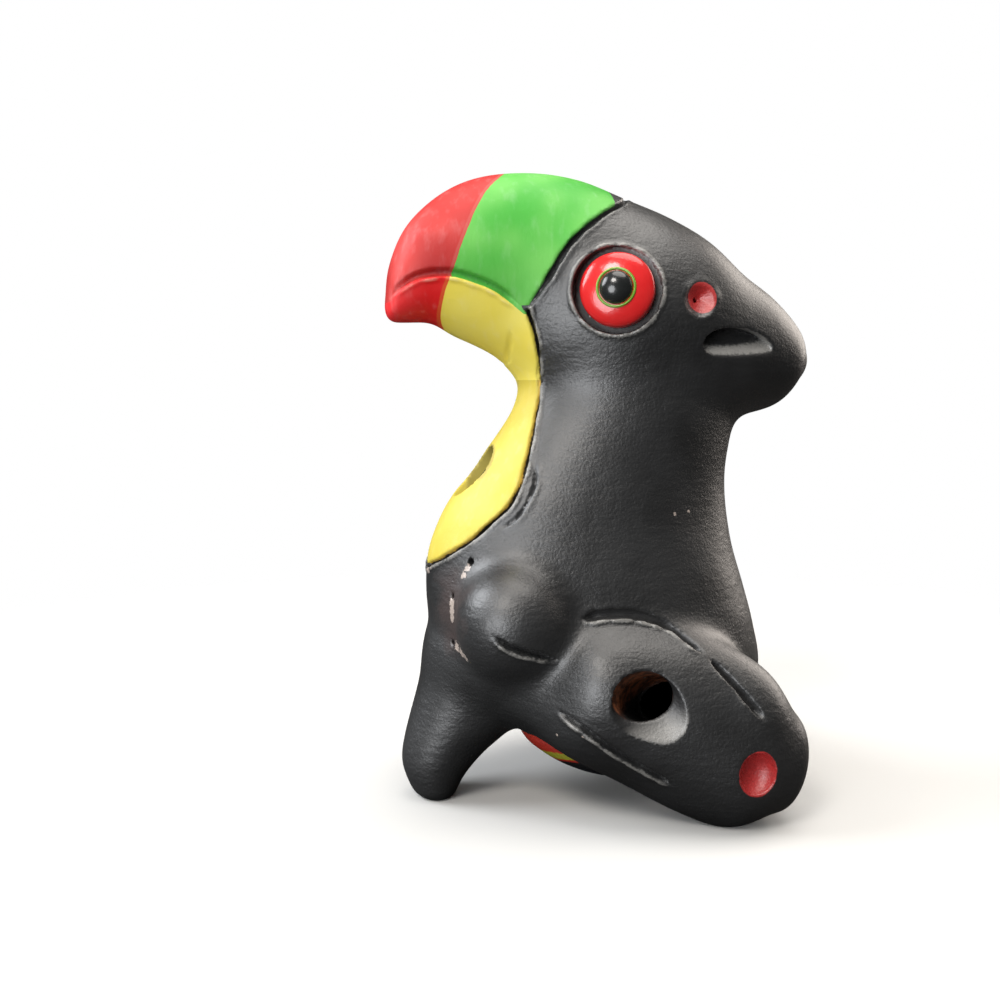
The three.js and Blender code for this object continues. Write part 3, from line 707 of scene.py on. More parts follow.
def facing_out(made):
    """Turn a closed mesh's faces the right way out."""
    sheet = bmesh.new()
    sheet.from_mesh(made.data)
    if sheet.calc_volume(signed=True) < 0:
        bmesh.ops.reverse_faces(sheet, faces=sheet.faces)
    sheet.to_mesh(made.data)
    sheet.free()
    return made


def block(outline, low, high, axis=1):
    """A block whose outline, of the two other coordinates, is pushed along an axis."""
    count = len(outline)
    points = [np.insert(np.array(p, float), axis, end) for end in (low, high) for p in outline]
    ring = [(i, (i + 1) % count, (i + 1) % count + count, i + count) for i in range(count)]
    caps = [tuple(range(count)), tuple(range(2 * count - 1, count - 1, -1))]
    mesh = bpy.data.meshes.new("tool")
    mesh.from_pydata([p * MM for p in points], [], ring + caps)
    sheet = bmesh.new()
    sheet.from_mesh(mesh)
    bmesh.ops.recalc_face_normals(sheet, faces=sheet.faces)
    sheet.to_mesh(mesh)
    sheet.free()
    return facing_out(placed("tool", mesh))


def cut(work, tool, way):
    """The mesh that is left of a piece when a tool is taken from it, or only kept inside."""
    modifier = work.modifiers.new("cut", "BOOLEAN")
    modifier.operation = way
    modifier.solver = "MANIFOLD"
    modifier.object = tool
    depsgraph = bpy.context.evaluated_depsgraph_get()
    depsgraph.update()
    mesh = bpy.data.meshes.new_from_object(work.evaluated_get(depsgraph))
    work.modifiers.clear()
    return mesh


def remove(work, tool):
    """Cut a tool's form away from a piece."""
    work.data = cut(work, tool, "DIFFERENCE")


def drop(*tools):
    """Delete tools that have done their work."""
    for tool in tools:
        bpy.data.objects.remove(tool)


def take(name, region):
    """Part a piece from the fired body, where a region holds it."""
    mesh = cut(body, region, "INTERSECT")
    remove(body, region)
    drop(region)
    mesh.name = name
    return placed(name, mesh)


body = new_object("body", *skin_of(clay))
hollow = lump_field(loft(column_rings, grow=-WALL), HOLLOW_VOXEL)
head_hollow = loft(crest_rings[HEAD_HOLLOW_RINGS], grow=-WALL)
hollow = np.minimum(hollow, lump_field(head_hollow, HOLLOW_VOXEL))
for side in SIDES.values():
    wing_hollow = loft(raised(WING, BELLY, side)[WING_HOLLOW_RINGS], grow=-WALL)
    hollow = np.minimum(hollow, lump_field(wing_hollow, HOLLOW_VOXEL))
hollow_tool = new_object("hollow", *skin_of(hollow, HOLLOW_VOXEL))
remove(body, hollow_tool)
drop(hollow_tool)
below_floor = block([(-FAR, -FAR), (FAR, -FAR), (FAR, 0), (-FAR, 0)], -FAR, FAR)
remove(body, below_floor)
drop(below_floor)

# Tail mouthpiece, cut and painted
# The windway leads the breath to the sharp edge behind the window. A maker cuts both with a
# thin blade, and paints the spout red with a yellow-green line along its edge.
WINDWAY_WIDTH = 8.4
WINDWAY_HEIGHT = 1.6
WINDWAY_DROP = 4.2
WINDOW_FRONT = 2.4
WINDOW_LENGTH = 6
LABIUM_SLOPE = 34
THROAT_FRONT = -3
TAIL_SLACK = 0.4
SHARP = math.radians(50)
SLIP = ("111213", "1f2021")
EDGE_LINE_RISE = 8.4


def colour(code):
    """A colour as Blender mixes it, from its usual six-figure code."""
    parts = [int(code[i:i + 2], 16) / 255 for i in (0, 2, 4)]
    return tuple(p / 12.92 if p <= 0.04045 else ((p + 0.055) / 1.055) ** 2.4 for p in parts)


class Value:
    """A value inside a material, which can be added, multiplied and compared like a number."""

    def __init__(self, paint, socket):
        self.paint = paint
        self.socket = socket

    def math(self, kind, first, second):
        return self.paint.node("ShaderNodeMath", {0: first, 1: second}, operation=kind)

    def __add__(self, other):
        return self.math("ADD", self, other)

    def __sub__(self, other):
        return self.math("SUBTRACT", self, other)

    def __rsub__(self, other):
        return self.math("SUBTRACT", other, self)

    def __mul__(self, other):
        return self.math("MULTIPLY", self, other)

    __radd__ = __add__
    __rmul__ = __mul__

    def size(self):
        return self.math("ABSOLUTE", self, 0)

    def most(self, other):
        return self.math("MAXIMUM", self, other)

    def over(self, low, high):
        """0 where the value is under low, 1 where it is over high, and smooth between."""
        values = {"Value": self, "From Min": low, "From Max": high}
        return self.paint.node("ShaderNodeMapRange", values, interpolation_type="SMOOTHSTEP")

    def distance(self, point):
        values = {0: self, 1: point}
        return self.paint.node("ShaderNodeVectorMath", values, "Value", operation="DISTANCE")


class Paint:
    """A material whose nodes are written as sums of named values."""

    def __init__(self, name):
        self.material = bpy.data.materials.new(name)
        self.material.use_nodes = True
        self.tree = self.material.node_tree
        self.shader = self.tree.nodes["Principled BSDF"]
        spot = self.node("ShaderNodeTexCoord", output="Object")
        values = {0: spot, "Scale": 1 / MM}
        self.place = self.node("ShaderNodeVectorMath", values, operation="SCALE")

    def feed(self, socket, value):
        """Give a socket a link, a colour by its code, or a number."""
        if isinstance(value, Value):
            self.tree.links.new(value.socket, socket)
        elif socket.type == "RGBA":
            socket.default_value = (*colour(value), 1)
        else:
            socket.default_value = value

    def node(self, kind, values=None, output=0, **settings):
        """Add a node of a kind, with its settings first and then what its sockets take."""
        made = self.tree.nodes.new(kind)
        for name, setting in settings.items():
            setattr(made, name, setting)
        for name, value in (values or {}).items():
            self.feed(made.inputs[name], value)
        return Value(self, made.outputs[output])

    def noise(self, size, detail=2, stretch=(1, 1, 1)):
        """Uneven patches about that many mm across, longer where stretch is under 1."""
        values = {0: self.place, 1: stretch}
        place = self.node("ShaderNodeVectorMath", values, operation="MULTIPLY")
        values = {"Vector": place, "Scale": 1 / size, "Detail": detail}
        return self.node("ShaderNodeTexNoise", values)

    def read(self, name):
        """A value that was stored on the points of the mesh."""
        return self.node("ShaderNodeAttribute", output="Fac", attribute_name=name)

    def mixed(self, mask, first, second):
        """The first colour where the mask is 0, and the second where it is 1."""
        values = {0: mask, 6: first, 7: second}
        return self.node("ShaderNodeMix", values, 2, data_type="RGBA")

    def specks(self, spots):
        """A mask of small chips, each given as x, y, z and radius in mm."""
        ragged = self.noise(0.5) - 0.5
        mask = None
        for *spot, radius in spots:
            chip = 1 - (self.place.distance(spot) + ragged * radius * 1.6).over(radius * 0.75, radius)
            mask = chip if mask is None else mask.most(chip)
        return mask

    def finish(self, base, roughness, bump, depth, coat=0.0):
        """Join colour, roughness and a bump of that depth in mm to the shader."""
        self.feed(self.shader.inputs["Base Color"], base)
        self.feed(self.shader.inputs["Roughness"], roughness)
        if coat:
            self.feed(self.shader.inputs["Coat Weight"], coat)
        values = {"Height": bump, "Distance": depth * MM, "Strength": 1.0}
        self.feed(self.shader.inputs["Normal"], self.node("ShaderNodeBump", values))
        return self.material


def store(piece, name, values):
    """Keep one value for each point of a piece, for its material to read."""
    layer = piece.data.attributes.new(name, "FLOAT", "POINT")
    layer.data.foreach_set("value", np.asarray(values, np.float32))


def places(piece):
    """The points of a piece, in mm."""
    found = np.empty(len(piece.data.vertices) * 3, np.float32)
    piece.data.vertices.foreach_get("co", found)
    return found.reshape(-1, 3) / MM


def finished(piece, node, material):
    """Give a piece its material and its place in the part."""
    piece.data.materials.clear()
    piece.data.materials.append(material)
    piece.data.shade_smooth()
    piece.data.set_sharp_from_angle(angle=SHARP)
    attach(piece, "root")
    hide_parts(node)


def marks(piece):
    """Store how deep each point lies in a groove, or how high it stands on a burr."""
    for name, field in (("groove", grooves), ("parting", parting), ("burr", burrs_and_highlights)):
        store(piece, name, sampled(field, places(piece)))


def tail_paint():
    """Red paint, with a yellow-green line along the edge and black slip below it."""
    paint = Paint("tail paint")
    height = paint.node("ShaderNodeSeparateXYZ", {0: paint.place}, 2)
    ragged = (paint.noise(1.5) - 0.5) * 0.8
    line = 1 - (height - EDGE_LINE_RISE + ragged).size().over(0.5, 0.8)
    base = paint.mixed(paint.noise(3), "b02a22", "c23a26")
    base = paint.mixed(line, base, "a9a834")
    below = 1 - (height + ragged * 0.5).over(EDGE_LINE_RISE - 1.3, EDGE_LINE_RISE - 1)
    base = paint.mixed(below, base, paint.mixed(paint.noise(8), *SLIP))
    return paint.finish(base, 0.45 + 0.15 * paint.noise(0.8), paint.noise(0.7, 3), 0.2)


tail_skin = loft(raised(TAIL, BELLY), HEEL_DOME, grow=TAIL_SLACK, squareness=TAIL_SQUARENESS)
tail = take("tail", lump_object(tail_skin))
top = BELLY - WINDWAY_DROP
floor_of_way = top - WINDWAY_HEIGHT
window_back = WINDOW_FRONT + WINDOW_LENGTH
edge = (top + floor_of_way) / 2
fall = math.tan(math.radians(LABIUM_SLOPE))
half_way = WINDWAY_WIDTH / 2
DUCT = [(WINDOW_FRONT, floor_of_way), (FAR, floor_of_way), (FAR, top), (WINDOW_FRONT, top)]
BELOW = [
    (WINDOW_FRONT, edge),
    (window_back, edge),
    (window_back, -BELLY),
    (WINDOW_FRONT - (edge + BELLY) / fall, -BELLY),
]
ABOVE = [
    (WINDOW_FRONT, edge),
    (THROAT_FRONT, top),
    (THROAT_FRONT, BELLY + 2 * WALL),
    (window_back, BELLY + 2 * WALL),
    (window_back, edge),
]
for outline in (DUCT, BELOW, ABOVE):
    opening = block(outline, -half_way, half_way)
    remove(tail, opening)
    if outline is ABOVE:
        remove(body, opening)
    drop(opening)
finished(tail, "tail_mouthpiece", tail_paint())

# Beak
# The two halves of the beak meet at the scored mouth line and are painted over it: red tips,
# then green above and yellow below, with a narrow paler band just inside the red's edge.
RED_EDGE = [(-18.8, 115.1), (-22.6, 111.6), (-25.4, 107.2), (-28, 101.2), (-29.6, 96.4)]
LOWER_RED_EDGE = [(-29.8, 96.4), (-30.9, 92.3), (-30.9, 88.6), (-28.6, 85.6)]
MOUTH_EDGE_DROP = 0.7
MOUTH_EDGE_START = 88
PARTING_INSET = 0.15
HALVES_GAP = 0.01
OVERHEAD = 130
FACE_RUN_OUT = 20
BEAK_ROOT = -9
BEAK_LOW = 78


def before(line, points):
    """How far points lie in front of a line of x and z that runs down, in mm."""
    line = smooth_line(line, CURVE_STEPS)[::-1]
    return np.interp(points[:, 2], line[:, 1], line[:, 0]) - points[:, 0]


def beak_paint(name, body_colours, reds, groove_shade_colour, edge_band_colour):
    """Satin paint of two colours, thin enough to show the brush, with slip in the seams."""
    paint = Paint(name)
    front = paint.read("front") + (paint.noise(1.2) - 0.5) * 0.2
    brush = paint.noise(1.6, 3, (1, 1, 0.3))
    tone = paint.noise(10, 1).over(0.3, 0.7)
    base = paint.mixed(tone, *body_colours)
    base = paint.mixed(front.over(-0.08, 0.08), base, paint.mixed(tone, *reds))
    # A narrow band just inside the red's edge is mixed toward a paler colour.
    edge = (1 - (front - 0.35).size().over(0.1, 0.45)) * 0.35
    base = paint.mixed(edge, base, edge_band_colour)
    # The scored grooves are painted darker, as painted shade.
    groove = paint.read("groove")
    beak_groove_shade = paint.mixed(front.over(-0.1, 0.1), groove_shade_colour, "8e1a1e")
    base = paint.mixed(groove.over(0.3, 0.9) * 0.6, base, beak_groove_shade)
    parting = paint.read("parting") + (paint.noise(1.0) - 0.5) * 0.4
    base = paint.mixed(parting.over(0.4, 0.7), base, "131311")
    # The burrs beside the grooves get a pale painted highlight.
    base = paint.mixed(paint.read("burr").over(0.12, 0.35) * 0.3, base, "f3e6cc")
    # A faint white along the brush streaks is a painted highlight.
    base = paint.mixed((brush.over(0.5, 0.8)) * 0.06, base, "ffffff")
    bump = brush * 0.5 + paint.noise(0.7) * 0.25 + paint.noise(4) * 0.6
    paint.feed(paint.shader.inputs["Specular IOR Level"], 0.3)
    return paint.finish(base, 0.4 + 0.2 * paint.noise(2), bump, 0.12)


face_line = smooth_line(FACE_LINE, CURVE_STEPS)
above_face = (face_line[0, 0] + FACE_RUN_OUT, OVERHEAD)
face_edge = [(x - PARTING_INSET, z) for x, z in [above_face, *face_line]]
mouth_line = smooth_line(MOUTH_LINE, CURVE_STEPS) - (0, MOUTH_EDGE_DROP)
mouth_start = (-FAR, MOUTH_EDGE_START - MOUTH_EDGE_DROP)
mouth_edge = [mouth_start, *mouth_line, (FAR, mouth_line[-1, 1])]
# Half of the bib's outline, of y and z, up the seam from its lowest point
bib_top = BIB_LINE[0][1]
bib_line = smooth_line(BIB_LINE, CURVE_STEPS)[::-1]
seam = [(min(y + PARTING_INSET, -HALVES_GAP), z) for y, z in bib_line if z < bib_top]
seam[0] = (-HALVES_GAP, seam[0][1] + PARTING_INSET)
throat = [*seam, (seam[-1][0], bib_top + 1), (-FAR, bib_top + 1), (-FAR, OVERHEAD)]
throat_block = block([*throat, *[(-y, z) for y, z in throat[::-1]]], -FAR, 0, axis=0)
beak_foot = [(BEAK_ROOT, face_line[-1, 1]), (BEAK_ROOT, BEAK_LOW), (-FAR, BEAK_LOW)]
beak_block = block([*face_edge, *beak_foot, (-FAR, OVERHEAD)], -FAR, FAR)
beak_block.data = cut(beak_block, throat_block, "INTERSECT")
above_mouth = block([*mouth_edge, (FAR, OVERHEAD), (-FAR, OVERHEAD)], -FAR, FAR)
beak = take("beak", beak_block)
upper = placed("upper_bill", cut(beak, above_mouth, "INTERSECT"))
lower = placed("lower_bill", cut(beak, above_mouth, "DIFFERENCE"))
drop(above_mouth, throat_block, beak)
for piece, line in ((upper, RED_EDGE), (lower, LOWER_RED_EDGE)):
    marks(piece)
    store(piece, "front", before(line, places(piece)))
# The red tips are one paint: the upper beak gets a duller, darker red as painted shade and the lower
# beak a brighter red as painted light.
greens = beak_paint("upper beak paint", ("4cb440", "72c75b"), ("b92b29", "ce3f3b"), "2a7d28", "c9776a")
yellows = beak_paint("lower beak paint", ("f4e15a", "f9ea72"), ("e42022", "ee3436"), "b5852a", "dd8a3c")
finished(upper, "upper_beak", greens)
finished(lower, "lower_beak", yellows)

# Throat bib
# A slab of clay let into the throat up to the scored line, with a finger hole through it, and
# painted yellow.
BIB_THICKNESS = 2.4
BIB_HOLE_BEVEL = 0.5


def ramp(values, low, high):
    """0 where values are under low, 1 where they are over high, and even between."""
    return np.clip((values - low) / (high - low), 0, 1)


def bib_paint():
    """Yellow paint, brown with dirt toward its torn edge, and olive inside the hole."""
    paint = Paint("bib paint")
    tone = paint.noise(9, 1).over(0.3, 0.7)
    # The bib's yellow is the lower beak's yellow painted darker, as painted shade against the light it
    # faces.
    base = paint.mixed(tone, "d7c34c", "e0ce58")
    brush = paint.noise(1.4, 3, (1, 1, 0.4))
    # A faint white along the brush streaks is a painted highlight.
    base = paint.mixed(brush.over(0.5, 0.8) * 0.06, base, "ffffff")
    crease = paint.read("groove").over(0.1, 0.5) * (1 - paint.read("hole"))
    base = paint.mixed(crease * 0.45, base, "c0761e")
    # Inside the hole the yellow is painted olive, as painted shade.
    base = paint.mixed(paint.read("hole"), base, paint.mixed(tone, "b3a24a", "c4b45c"))
    parting = paint.read("parting") + (paint.noise(0.9) - 0.5) * 0.5
    base = paint.mixed(parting.over(0.4, 0.75), base, "16150f")
    bump = brush * 0.5 + paint.noise(0.7) * 0.3 + paint.noise(4) * 0.5
    return paint.finish(base, 0.42 + 0.2 * paint.noise(2), bump, 0.12)


bib_block = block([*seam, *[(-y, z) for y, z in seam[::-1]]], -FAR, 0, axis=0)
inner = lump_object(loft(column_rings, grow=-BIB_THICKNESS))
remove(bib_block, inner)
drop(inner)
bib = take("bib", bib_block)
marks(bib)
offset = places(bib) - bib_seat
into = offset @ bib_way
reach = np.linalg.norm(offset - into[:, None] * bib_way, axis=1)
near_hole = reach < BIB_HOLE_SIZE[1] + BIB_HOLE_BEVEL
# Points inside the bib's hole are marked for its olive painted shade.
store(bib, "hole", near_hole * ramp(into, 0.2, 0.8))
finished(bib, "throat_bib", bib_paint())

# Black pieces
# Snout, head, neck, wings, knobs, leg and chamber halves under one coat of black slip, which
# was brushed on and rubbed. Burrs and edges are painted pale, partly as wear and partly as
# painted highlight, and the lower bevel of each finger hole and the slope of the snout's mouth
# get a pale painted highlight. Grooves, sockets and pinholes are painted near-black as painted
# shade, the dimples are painted red, and the finger holes show the red clay.
NOSTRIL_PAINT = 2.75
PAW_PAINT = 0.2
UNPAINTED = 9.0
OWN_SIDE = 5
HOLE_SKIN = 0.25
# How far outside its own form each lump is parted from the body
WING_SLACK = 0.4
KNOB_SLACK = 0.5
LEG_SLACK = 0.5
# Where chips show the pale clay: x, y, z and radius
CHIPS = [
    (-27.1, -11.8, 46.1, 0.3),
    (9.1, -16.2, 54.3, 0.35),
    (12.2, -15, 54.6, 0.3),
    (-13.9, -22.6, 17.4, 0.3),
    (-10.4, -26.8, 18.2, 0.3),
    (14.4, -31, 5, 0.3),
    (-27.4, -11.6, 44.8, 0.8),
    (-27.9, -11.5, 43.6, 0.85),
    (-29.9, -10.1, 38.4, 1.0),
    (-30, -10.3, 37.3, 1.15),
    (-30, -10.5, 36, 1.05),
    (-29.5, -11.4, 30.9, 1.0),
    (-29, -13.2, 30.2, 1.1),
    (-28.4, -14.6, 29.7, 0.95),
    (-33.2, -1.6, 43.3, 0.8),
    (-32.6, -3.2, 43.9, 0.5),
]
RUBBED = (-29, -11, 37)
# The way toward the lower side of each finger hole, whose bevel gets a pale painted highlight
FINGER_HIGHLIGHT_WAY = (0.3, 0, -0.95)


def slip_paint():
    """Black slip: sooty, pebbly where it dried, grey on every edge and burr as wear and painted
    highlight, near-black in cuts as painted shade.
    """
    paint = Paint("black slip")
    cloud = paint.noise(14, 2)
    brush = paint.noise(1.2, 3, (0.4, 0.4, 1))
    grain = paint.noise(0.5, 2)
    base = paint.mixed(cloud.over(0.35, 0.65), *SLIP)
    base = paint.mixed(brush.over(0.5, 0.8) * 0.3, base, "2b2c2d")
    rub = 1 - (paint.place.distance(RUBBED) + (paint.noise(4) - 0.5) * 9).over(3, 9)
    base = paint.mixed(rub * 0.35, base, "5a4540")
    # Burrs are painted pale grey partly as wear and partly as painted highlight, and the slope of the
    # snout's mouth as painted highlight.
    wear_and_highlight = (paint.read("burr") + (grain - 0.5) * 0.3).over(0.08, 0.3)
    base = paint.mixed(wear_and_highlight * 0.6, base, "a3a19c")
    # Grooves, sockets, pinholes and the mouth's undercut are painted near-black here, as painted shade.
    groove_shade = paint.read("groove").over(0.3, 0.9)
    base = paint.mixed(groove_shade * 0.95, base, "050506")
    bare_clay = paint.mixed(paint.noise(1.6, 3).over(0.35, 0.65), "54301f", "b06a45")
    base = paint.mixed(paint.read("raw"), base, bare_clay)
    # The lower bevel of each finger hole is painted pale grey as a painted highlight.
    base = paint.mixed(paint.read("bevel_highlight") * 0.8, base, "92908c")
    red = 1 - (paint.read("dimple") + (paint.noise(1.5) - 0.5) * 0.3).over(-0.08, 0.08)
    reds = paint.mixed(paint.noise(1.5), "a81c1c", "c42a28")
    base = paint.mixed(red * (1 - groove_shade), base, reds)
    base = paint.mixed(paint.specks(CHIPS), base, "b0a298")
    fleck = paint.node("ShaderNodeTexVoronoi", {"Vector": paint.place, "Scale": 0.09}, "Distance")
    base = paint.mixed(1 - fleck.over(0.016, 0.022), base, "c4bfb6")
    bump = brush * 0.5 + grain * 0.35 + paint.noise(5) * 0.5
    paint.feed(paint.shader.inputs["Specular IOR Level"], 1.0)
    paint.feed(paint.shader.inputs["Coat Roughness"], 0.42)
    return paint.finish(base, 0.36 + 0.14 * cloud + 0.1 * grain + groove_shade * 0.4, bump, 0.32, 0.8)


slip = slip_paint()


def blacken(piece, node):
    """Store what the slip's material reads, and finish a black piece."""
    points = places(piece)
    marks(piece)
    dimple = np.full(len(points), UNPAINTED)
    raw = np.zeros(len(points))
    bevel_highlight = np.zeros(len(points))
    for word, side in SIDES.items():
        nostril = np.hypot(points[:, 0] - NOSTRIL[0], points[:, 2] - NOSTRIL[1]) - NOSTRIL_PAINT
        nostril[points[:, 1] * side < OWN_SIDE] = UNPAINTED
        paw, paw_tool = dimple_seats[word]
        paw_dimple = -paw_tool(points - paw) - PAW_PAINT
        dimple = np.minimum(dimple, np.minimum(nostril, paw_dimple))
        offset = points - finger_seats[word]
        wall = np.abs(finger_tool(side)(offset)) < HOLE_SKIN
        sunk = ramp(-offset[:, 1] * side, FINGER_HOLE_BEVEL, FINGER_HOLE_BEVEL + 0.5)
        lower = offset @ FINGER_HIGHLIGHT_WAY
        raw = np.maximum(raw, wall * sunk * (1 - ramp(lower, 0, 1.5)))
        # The lower bevel is marked for a pale painted highlight.
        bevel_highlight = np.maximum(bevel_highlight, wall * (1 - sunk) * ramp(lower, 2, 5))
    store(piece, "dimple", dimple)
    store(piece, "raw", raw)
    store(piece, "bevel_highlight", bevel_highlight)
    finished(piece, node, slip)


def without(region, form):
    """A region with another form cut away from it."""
    tool = lump_object(form)
    remove(region, tool)
    drop(tool)
    return region


def ball(centre, radius):
    """A round tool."""
    mesh = bpy.data.meshes.new("tool")
    sheet = bmesh.new()
    bmesh.ops.create_icosphere(sheet, subdivisions=4, radius=radius * MM)
    bmesh.ops.translate(sheet, verts=sheet.verts, vec=Vector(centre) * MM)
    sheet.to_mesh(mesh)
    sheet.free()
    return placed("tool", mesh)


def slab(low, inner=-FAR):
    """A region from a height up, over the whole bird or from a place in y outward."""
    return block([(-FAR, low), (FAR, low), (FAR, OVERHEAD), (-FAR, OVERHEAD)], inner, FAR)


SNOUT_EDGE = [(-8.8, 54), (6.5, 69), (11, 109), (15.5, 149)]
trunk_form = loft(column_rings)
for word, side in SIDES.items():
    region = loft(raised(WING, BELLY, side), end_dome=WING_TIP_DOME, grow=WING_SLACK)
    blacken(take(f"{word}_wing", lump_object(region)), f"wing_{word}")
for word in SIDES:
    region = without(ball(knob_centres[word], KNOB_RADIUS + KNOB_SLACK), trunk_form)
    blacken(take(f"{word}_knob", region), f"shoulder_knob_{word}")
region = lump_object(loft(raised(LEG, BELLY), end_dome=SOLE_DOME, grow=LEG_SLACK))
blacken(take("leg", without(region, trunk_form)), "front_leg")
behind_head = [(FAR, SNOUT_EDGE[-1][1]), (FAR, SNOUT_EDGE[0][1])]
snout_block = block([*SNOUT_EDGE, *behind_head], -FAR, FAR)
blacken(take("snout", without(snout_block, loft(column_rings[:-1]))), "nape_snout")
blacken(take("head", slab(HEAD_SEAM)), "head_shell")
blacken(take("neck", slab(NECK_SEAM)), "neck_shell")
blacken(take("right_chamber", slab(-FAR, inner=0)), "chamber_right")
body.name = "left_chamber"
blacken(body, "chamber_left")

# Eyes
# A domed button of clay under shiny red paint sits in each socket. On it a thin yellow-green
# coil rings a glossy black bead.
EYE_DOME = 2.2
EYE_CLEARANCE = 0.1
RING_RADIUS = 3.25
RING_WIDTH = 0.5
RING_PROUD = 0.3
RING_LIFT = 0.02
PUPIL_RADIUS = 2.9
PUPIL_DOME = 1.9
PUPIL_SUNK = 0.5
EYE_STEPS = 96
RING_STEPS = 12


def turned(name, profile, seat, way, lump=0.0):
    """A form turned round the way out of its seat, from a profile of radius and rise.

    Lump is the share by which its roundness wanders.
    """
    level = unit(np.cross((0, 0, 1), way))
    upright = np.cross(way, level)
    angle = np.linspace(0, 2 * math.pi, EYE_STEPS, endpoint=False)
    uneven = 1 + lump * wobble(angle * EYE_RADIUS, 14)
    spokes = np.outer(np.cos(angle) * uneven, level) + np.outer(np.sin(angle) * uneven, upright)
    rings = [seat + spokes * radius + way * rise for radius, rise in profile]
    points = np.vstack([*rings, seat + way * profile[0][1], seat + way * profile[-1][1]])
    here = np.arange(EYE_STEPS)
    there = (here + 1) % EYE_STEPS
    faces = []
    for row in range(len(profile) - 1):
        low, high = row * EYE_STEPS, (row + 1) * EYE_STEPS
        faces.append(np.column_stack([here + low, there + low, there + high]))
        faces.append(np.column_stack([here + low, there + high, here + high]))
    last = len(rings) * EYE_STEPS
    top = (len(profile) - 1) * EYE_STEPS
    faces.append(np.column_stack([there, here, np.full(EYE_STEPS, last)]))
    faces.append(np.column_stack([here + top, there + top, np.full(EYE_STEPS, last + 1)]))
    return facing_out(new_object(name, points, np.vstack(faces)))


def domed(radius, dome, low, steps=16):
    """The profile of a button: a straight wall and a dome."""
    bows = np.linspace(0.02, math.pi / 2 - 0.02, steps)
    return [(radius, low), *[(radius * math.cos(a), dome * math.sin(a)) for a in bows]]


def gloss(name, first, second):
    """Shiny paint of two near colours, laid on thick."""
    paint = Paint(name)
    base = paint.mixed(paint.noise(2.5), first, second)
    return paint.finish(base, 0.2 + 0.08 * paint.noise(1), paint.noise(1.5), 0.05, 0.5)


eye_red = gloss("eye red", "d82022", "e22f2f")
eye_green = gloss("eye ring green", "5f9a2a", "86ad3a")
eye_black = gloss("eye black", "191b1b", "2a2c2c")
rise = EYE_DOME * math.sqrt(1 - (RING_RADIUS / EYE_RADIUS) ** 2)
disc_profile = domed(EYE_RADIUS, EYE_DOME, EYE_CLEARANCE - EYE_SEAT)
ring_profile = [
    (RING_RADIUS + RING_WIDTH / 2 * math.cos(a), rise + RING_PROUD * math.sin(a) + RING_LIFT)
    for a in np.linspace(0, 2 * math.pi, RING_STEPS + 1)
]
pupil_profile = domed(PUPIL_RADIUS, PUPIL_DOME, -PUPIL_SUNK)
for word, (seat, way) in eye_seats.items():
    disc = turned(f"{word}_eye", disc_profile, seat, way, 0.012)
    finished(disc, f"eye_disc_{word}", eye_red)
    ring = turned(f"{word}_eye_ring", ring_profile, seat, way, 0.01)
    finished(ring, f"eye_ring_{word}", eye_green)
    pupil = turned(f"{word}_pupil", pupil_profile, seat + way * rise, way)
    finished(pupil, f"pupil_{word}", eye_black)

# Stage
# A plain pale floor, soft light from the upper left, and the camera where the photograph was
# taken from.
FLOOR = 1.5
FLOOR_FADE = (110, 260)
AIM = (0, 0, 0.06)
# The world fills the shade, more from above than from the side, and gloss shows little of it
FILL = 0.36
HORIZON = (-0.3, 0.6)
REFLECTED = 0.03
CAMERA_LENS = 39.6
CAMERA_PLACE = (-58.863, -200.795, 77.206)
CAMERA_TURN = 11.116
CAMERA_FALL = 6


def floor_paint():
    """Pale where the camera looks, darker in its reflections, and faded out toward its edge."""
    paint = Paint("floor")
    seen = paint.node("ShaderNodeLightPath")
    base = paint.mixed(seen, "1c1a19", "dededc")
    paint.feed(paint.shader.inputs["Base Color"], base)
    paint.feed(paint.shader.inputs["Roughness"], 0.8)
    away = paint.place.distance((0, 0, 0))
    paint.feed(paint.shader.inputs["Alpha"], 1 - away.over(*FLOOR_FADE))
    return paint.material


floor_mesh = bpy.data.meshes.new("floor")
corners = [(-FLOOR, -FLOOR, 0), (FLOOR, -FLOOR, 0), (FLOOR, FLOOR, 0), (-FLOOR, FLOOR, 0)]
floor_mesh.from_pydata(corners, [], [(0, 1, 2, 3)])
floor_mesh.materials.append(floor_paint())
placed("floor", floor_mesh)


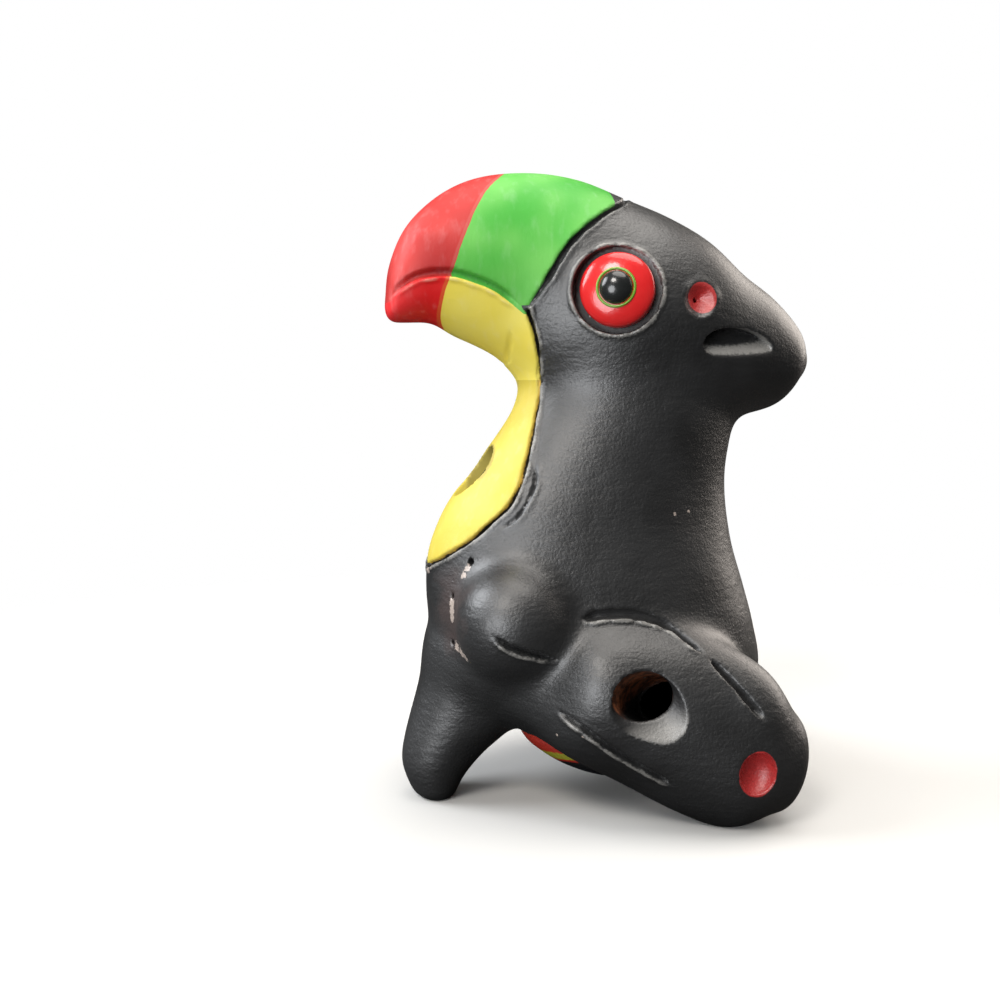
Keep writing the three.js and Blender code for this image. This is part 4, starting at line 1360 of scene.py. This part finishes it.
def lamp(name, place, size, power, tint):
    """A round soft lamp, aimed at the middle of the bird."""
    light = bpy.data.lights.new(name, "AREA")
    light.shape = "DISK"
    light.size = size
    light.energy = power
    light.color = colour(tint)
    made = placed(name, light)
    made.location = place
    aim = Vector(AIM) - made.location
    made.rotation_euler = aim.to_track_quat("-Z", "Y").to_euler()


lamp("key", (-0.35, -0.45, 0.6), 0.25, 2.5, "fffaf4")
lamp("left", (-0.6, -0.62, 0.08), 0.5, 4.4, "fafcff")
lamp("left back", (-0.65, 0.15, 0.5), 0.5, 5.1, "f8fbff")
lamp("top", (0.1, -0.05, 0.8), 0.7, 4.4, "fffaf4")
lamp("right back", (0.7, 0.3, 0.35), 0.6, 3.0, "fff4ea")

world = bpy.data.worlds.new("studio")
world.use_nodes = True
tree = world.node_tree
ray = tree.nodes.new("ShaderNodeLightPath")
direction = tree.nodes.new("ShaderNodeTexCoord")
height = tree.nodes.new("ShaderNodeSeparateXYZ")
tree.links.new(direction.outputs["Generated"], height.inputs["Vector"])
sky = tree.nodes.new("ShaderNodeMapRange")
tree.links.new(height.outputs["Z"], sky.inputs["Value"])
sky.inputs["From Min"].default_value = HORIZON[0]
sky.inputs["From Max"].default_value = HORIZON[1]
sky.inputs["To Max"].default_value = FILL
strength = sky.outputs["Result"]
for kind, level in (("Is Glossy Ray", REFLECTED), ("Is Camera Ray", 1.0)):
    chosen = tree.nodes.new("ShaderNodeMix")
    tree.links.new(ray.outputs[kind], chosen.inputs["Factor"])
    tree.links.new(strength, chosen.inputs["A"])
    chosen.inputs["B"].default_value = level
    strength = chosen.outputs["Result"]
background = tree.nodes["Background"]
background.inputs["Color"].default_value = (1, 1, 1, 1)
tree.links.new(strength, background.inputs["Strength"])
bpy.context.scene.world = world
bpy.context.scene.view_settings.view_transform = "Standard"

camera = placed("camera", bpy.data.cameras.new("camera"))
camera.data.lens = CAMERA_LENS
camera.location = Vector(CAMERA_PLACE) * MM
turn = math.radians(CAMERA_TURN)
fall = math.radians(CAMERA_FALL)
ahead = Vector((math.sin(turn) * math.cos(fall), math.cos(turn) * math.cos(fall), -math.sin(fall)))
camera.rotation_euler = ahead.to_track_quat("-Z", "Y").to_euler()
bpy.context.scene.camera = camera
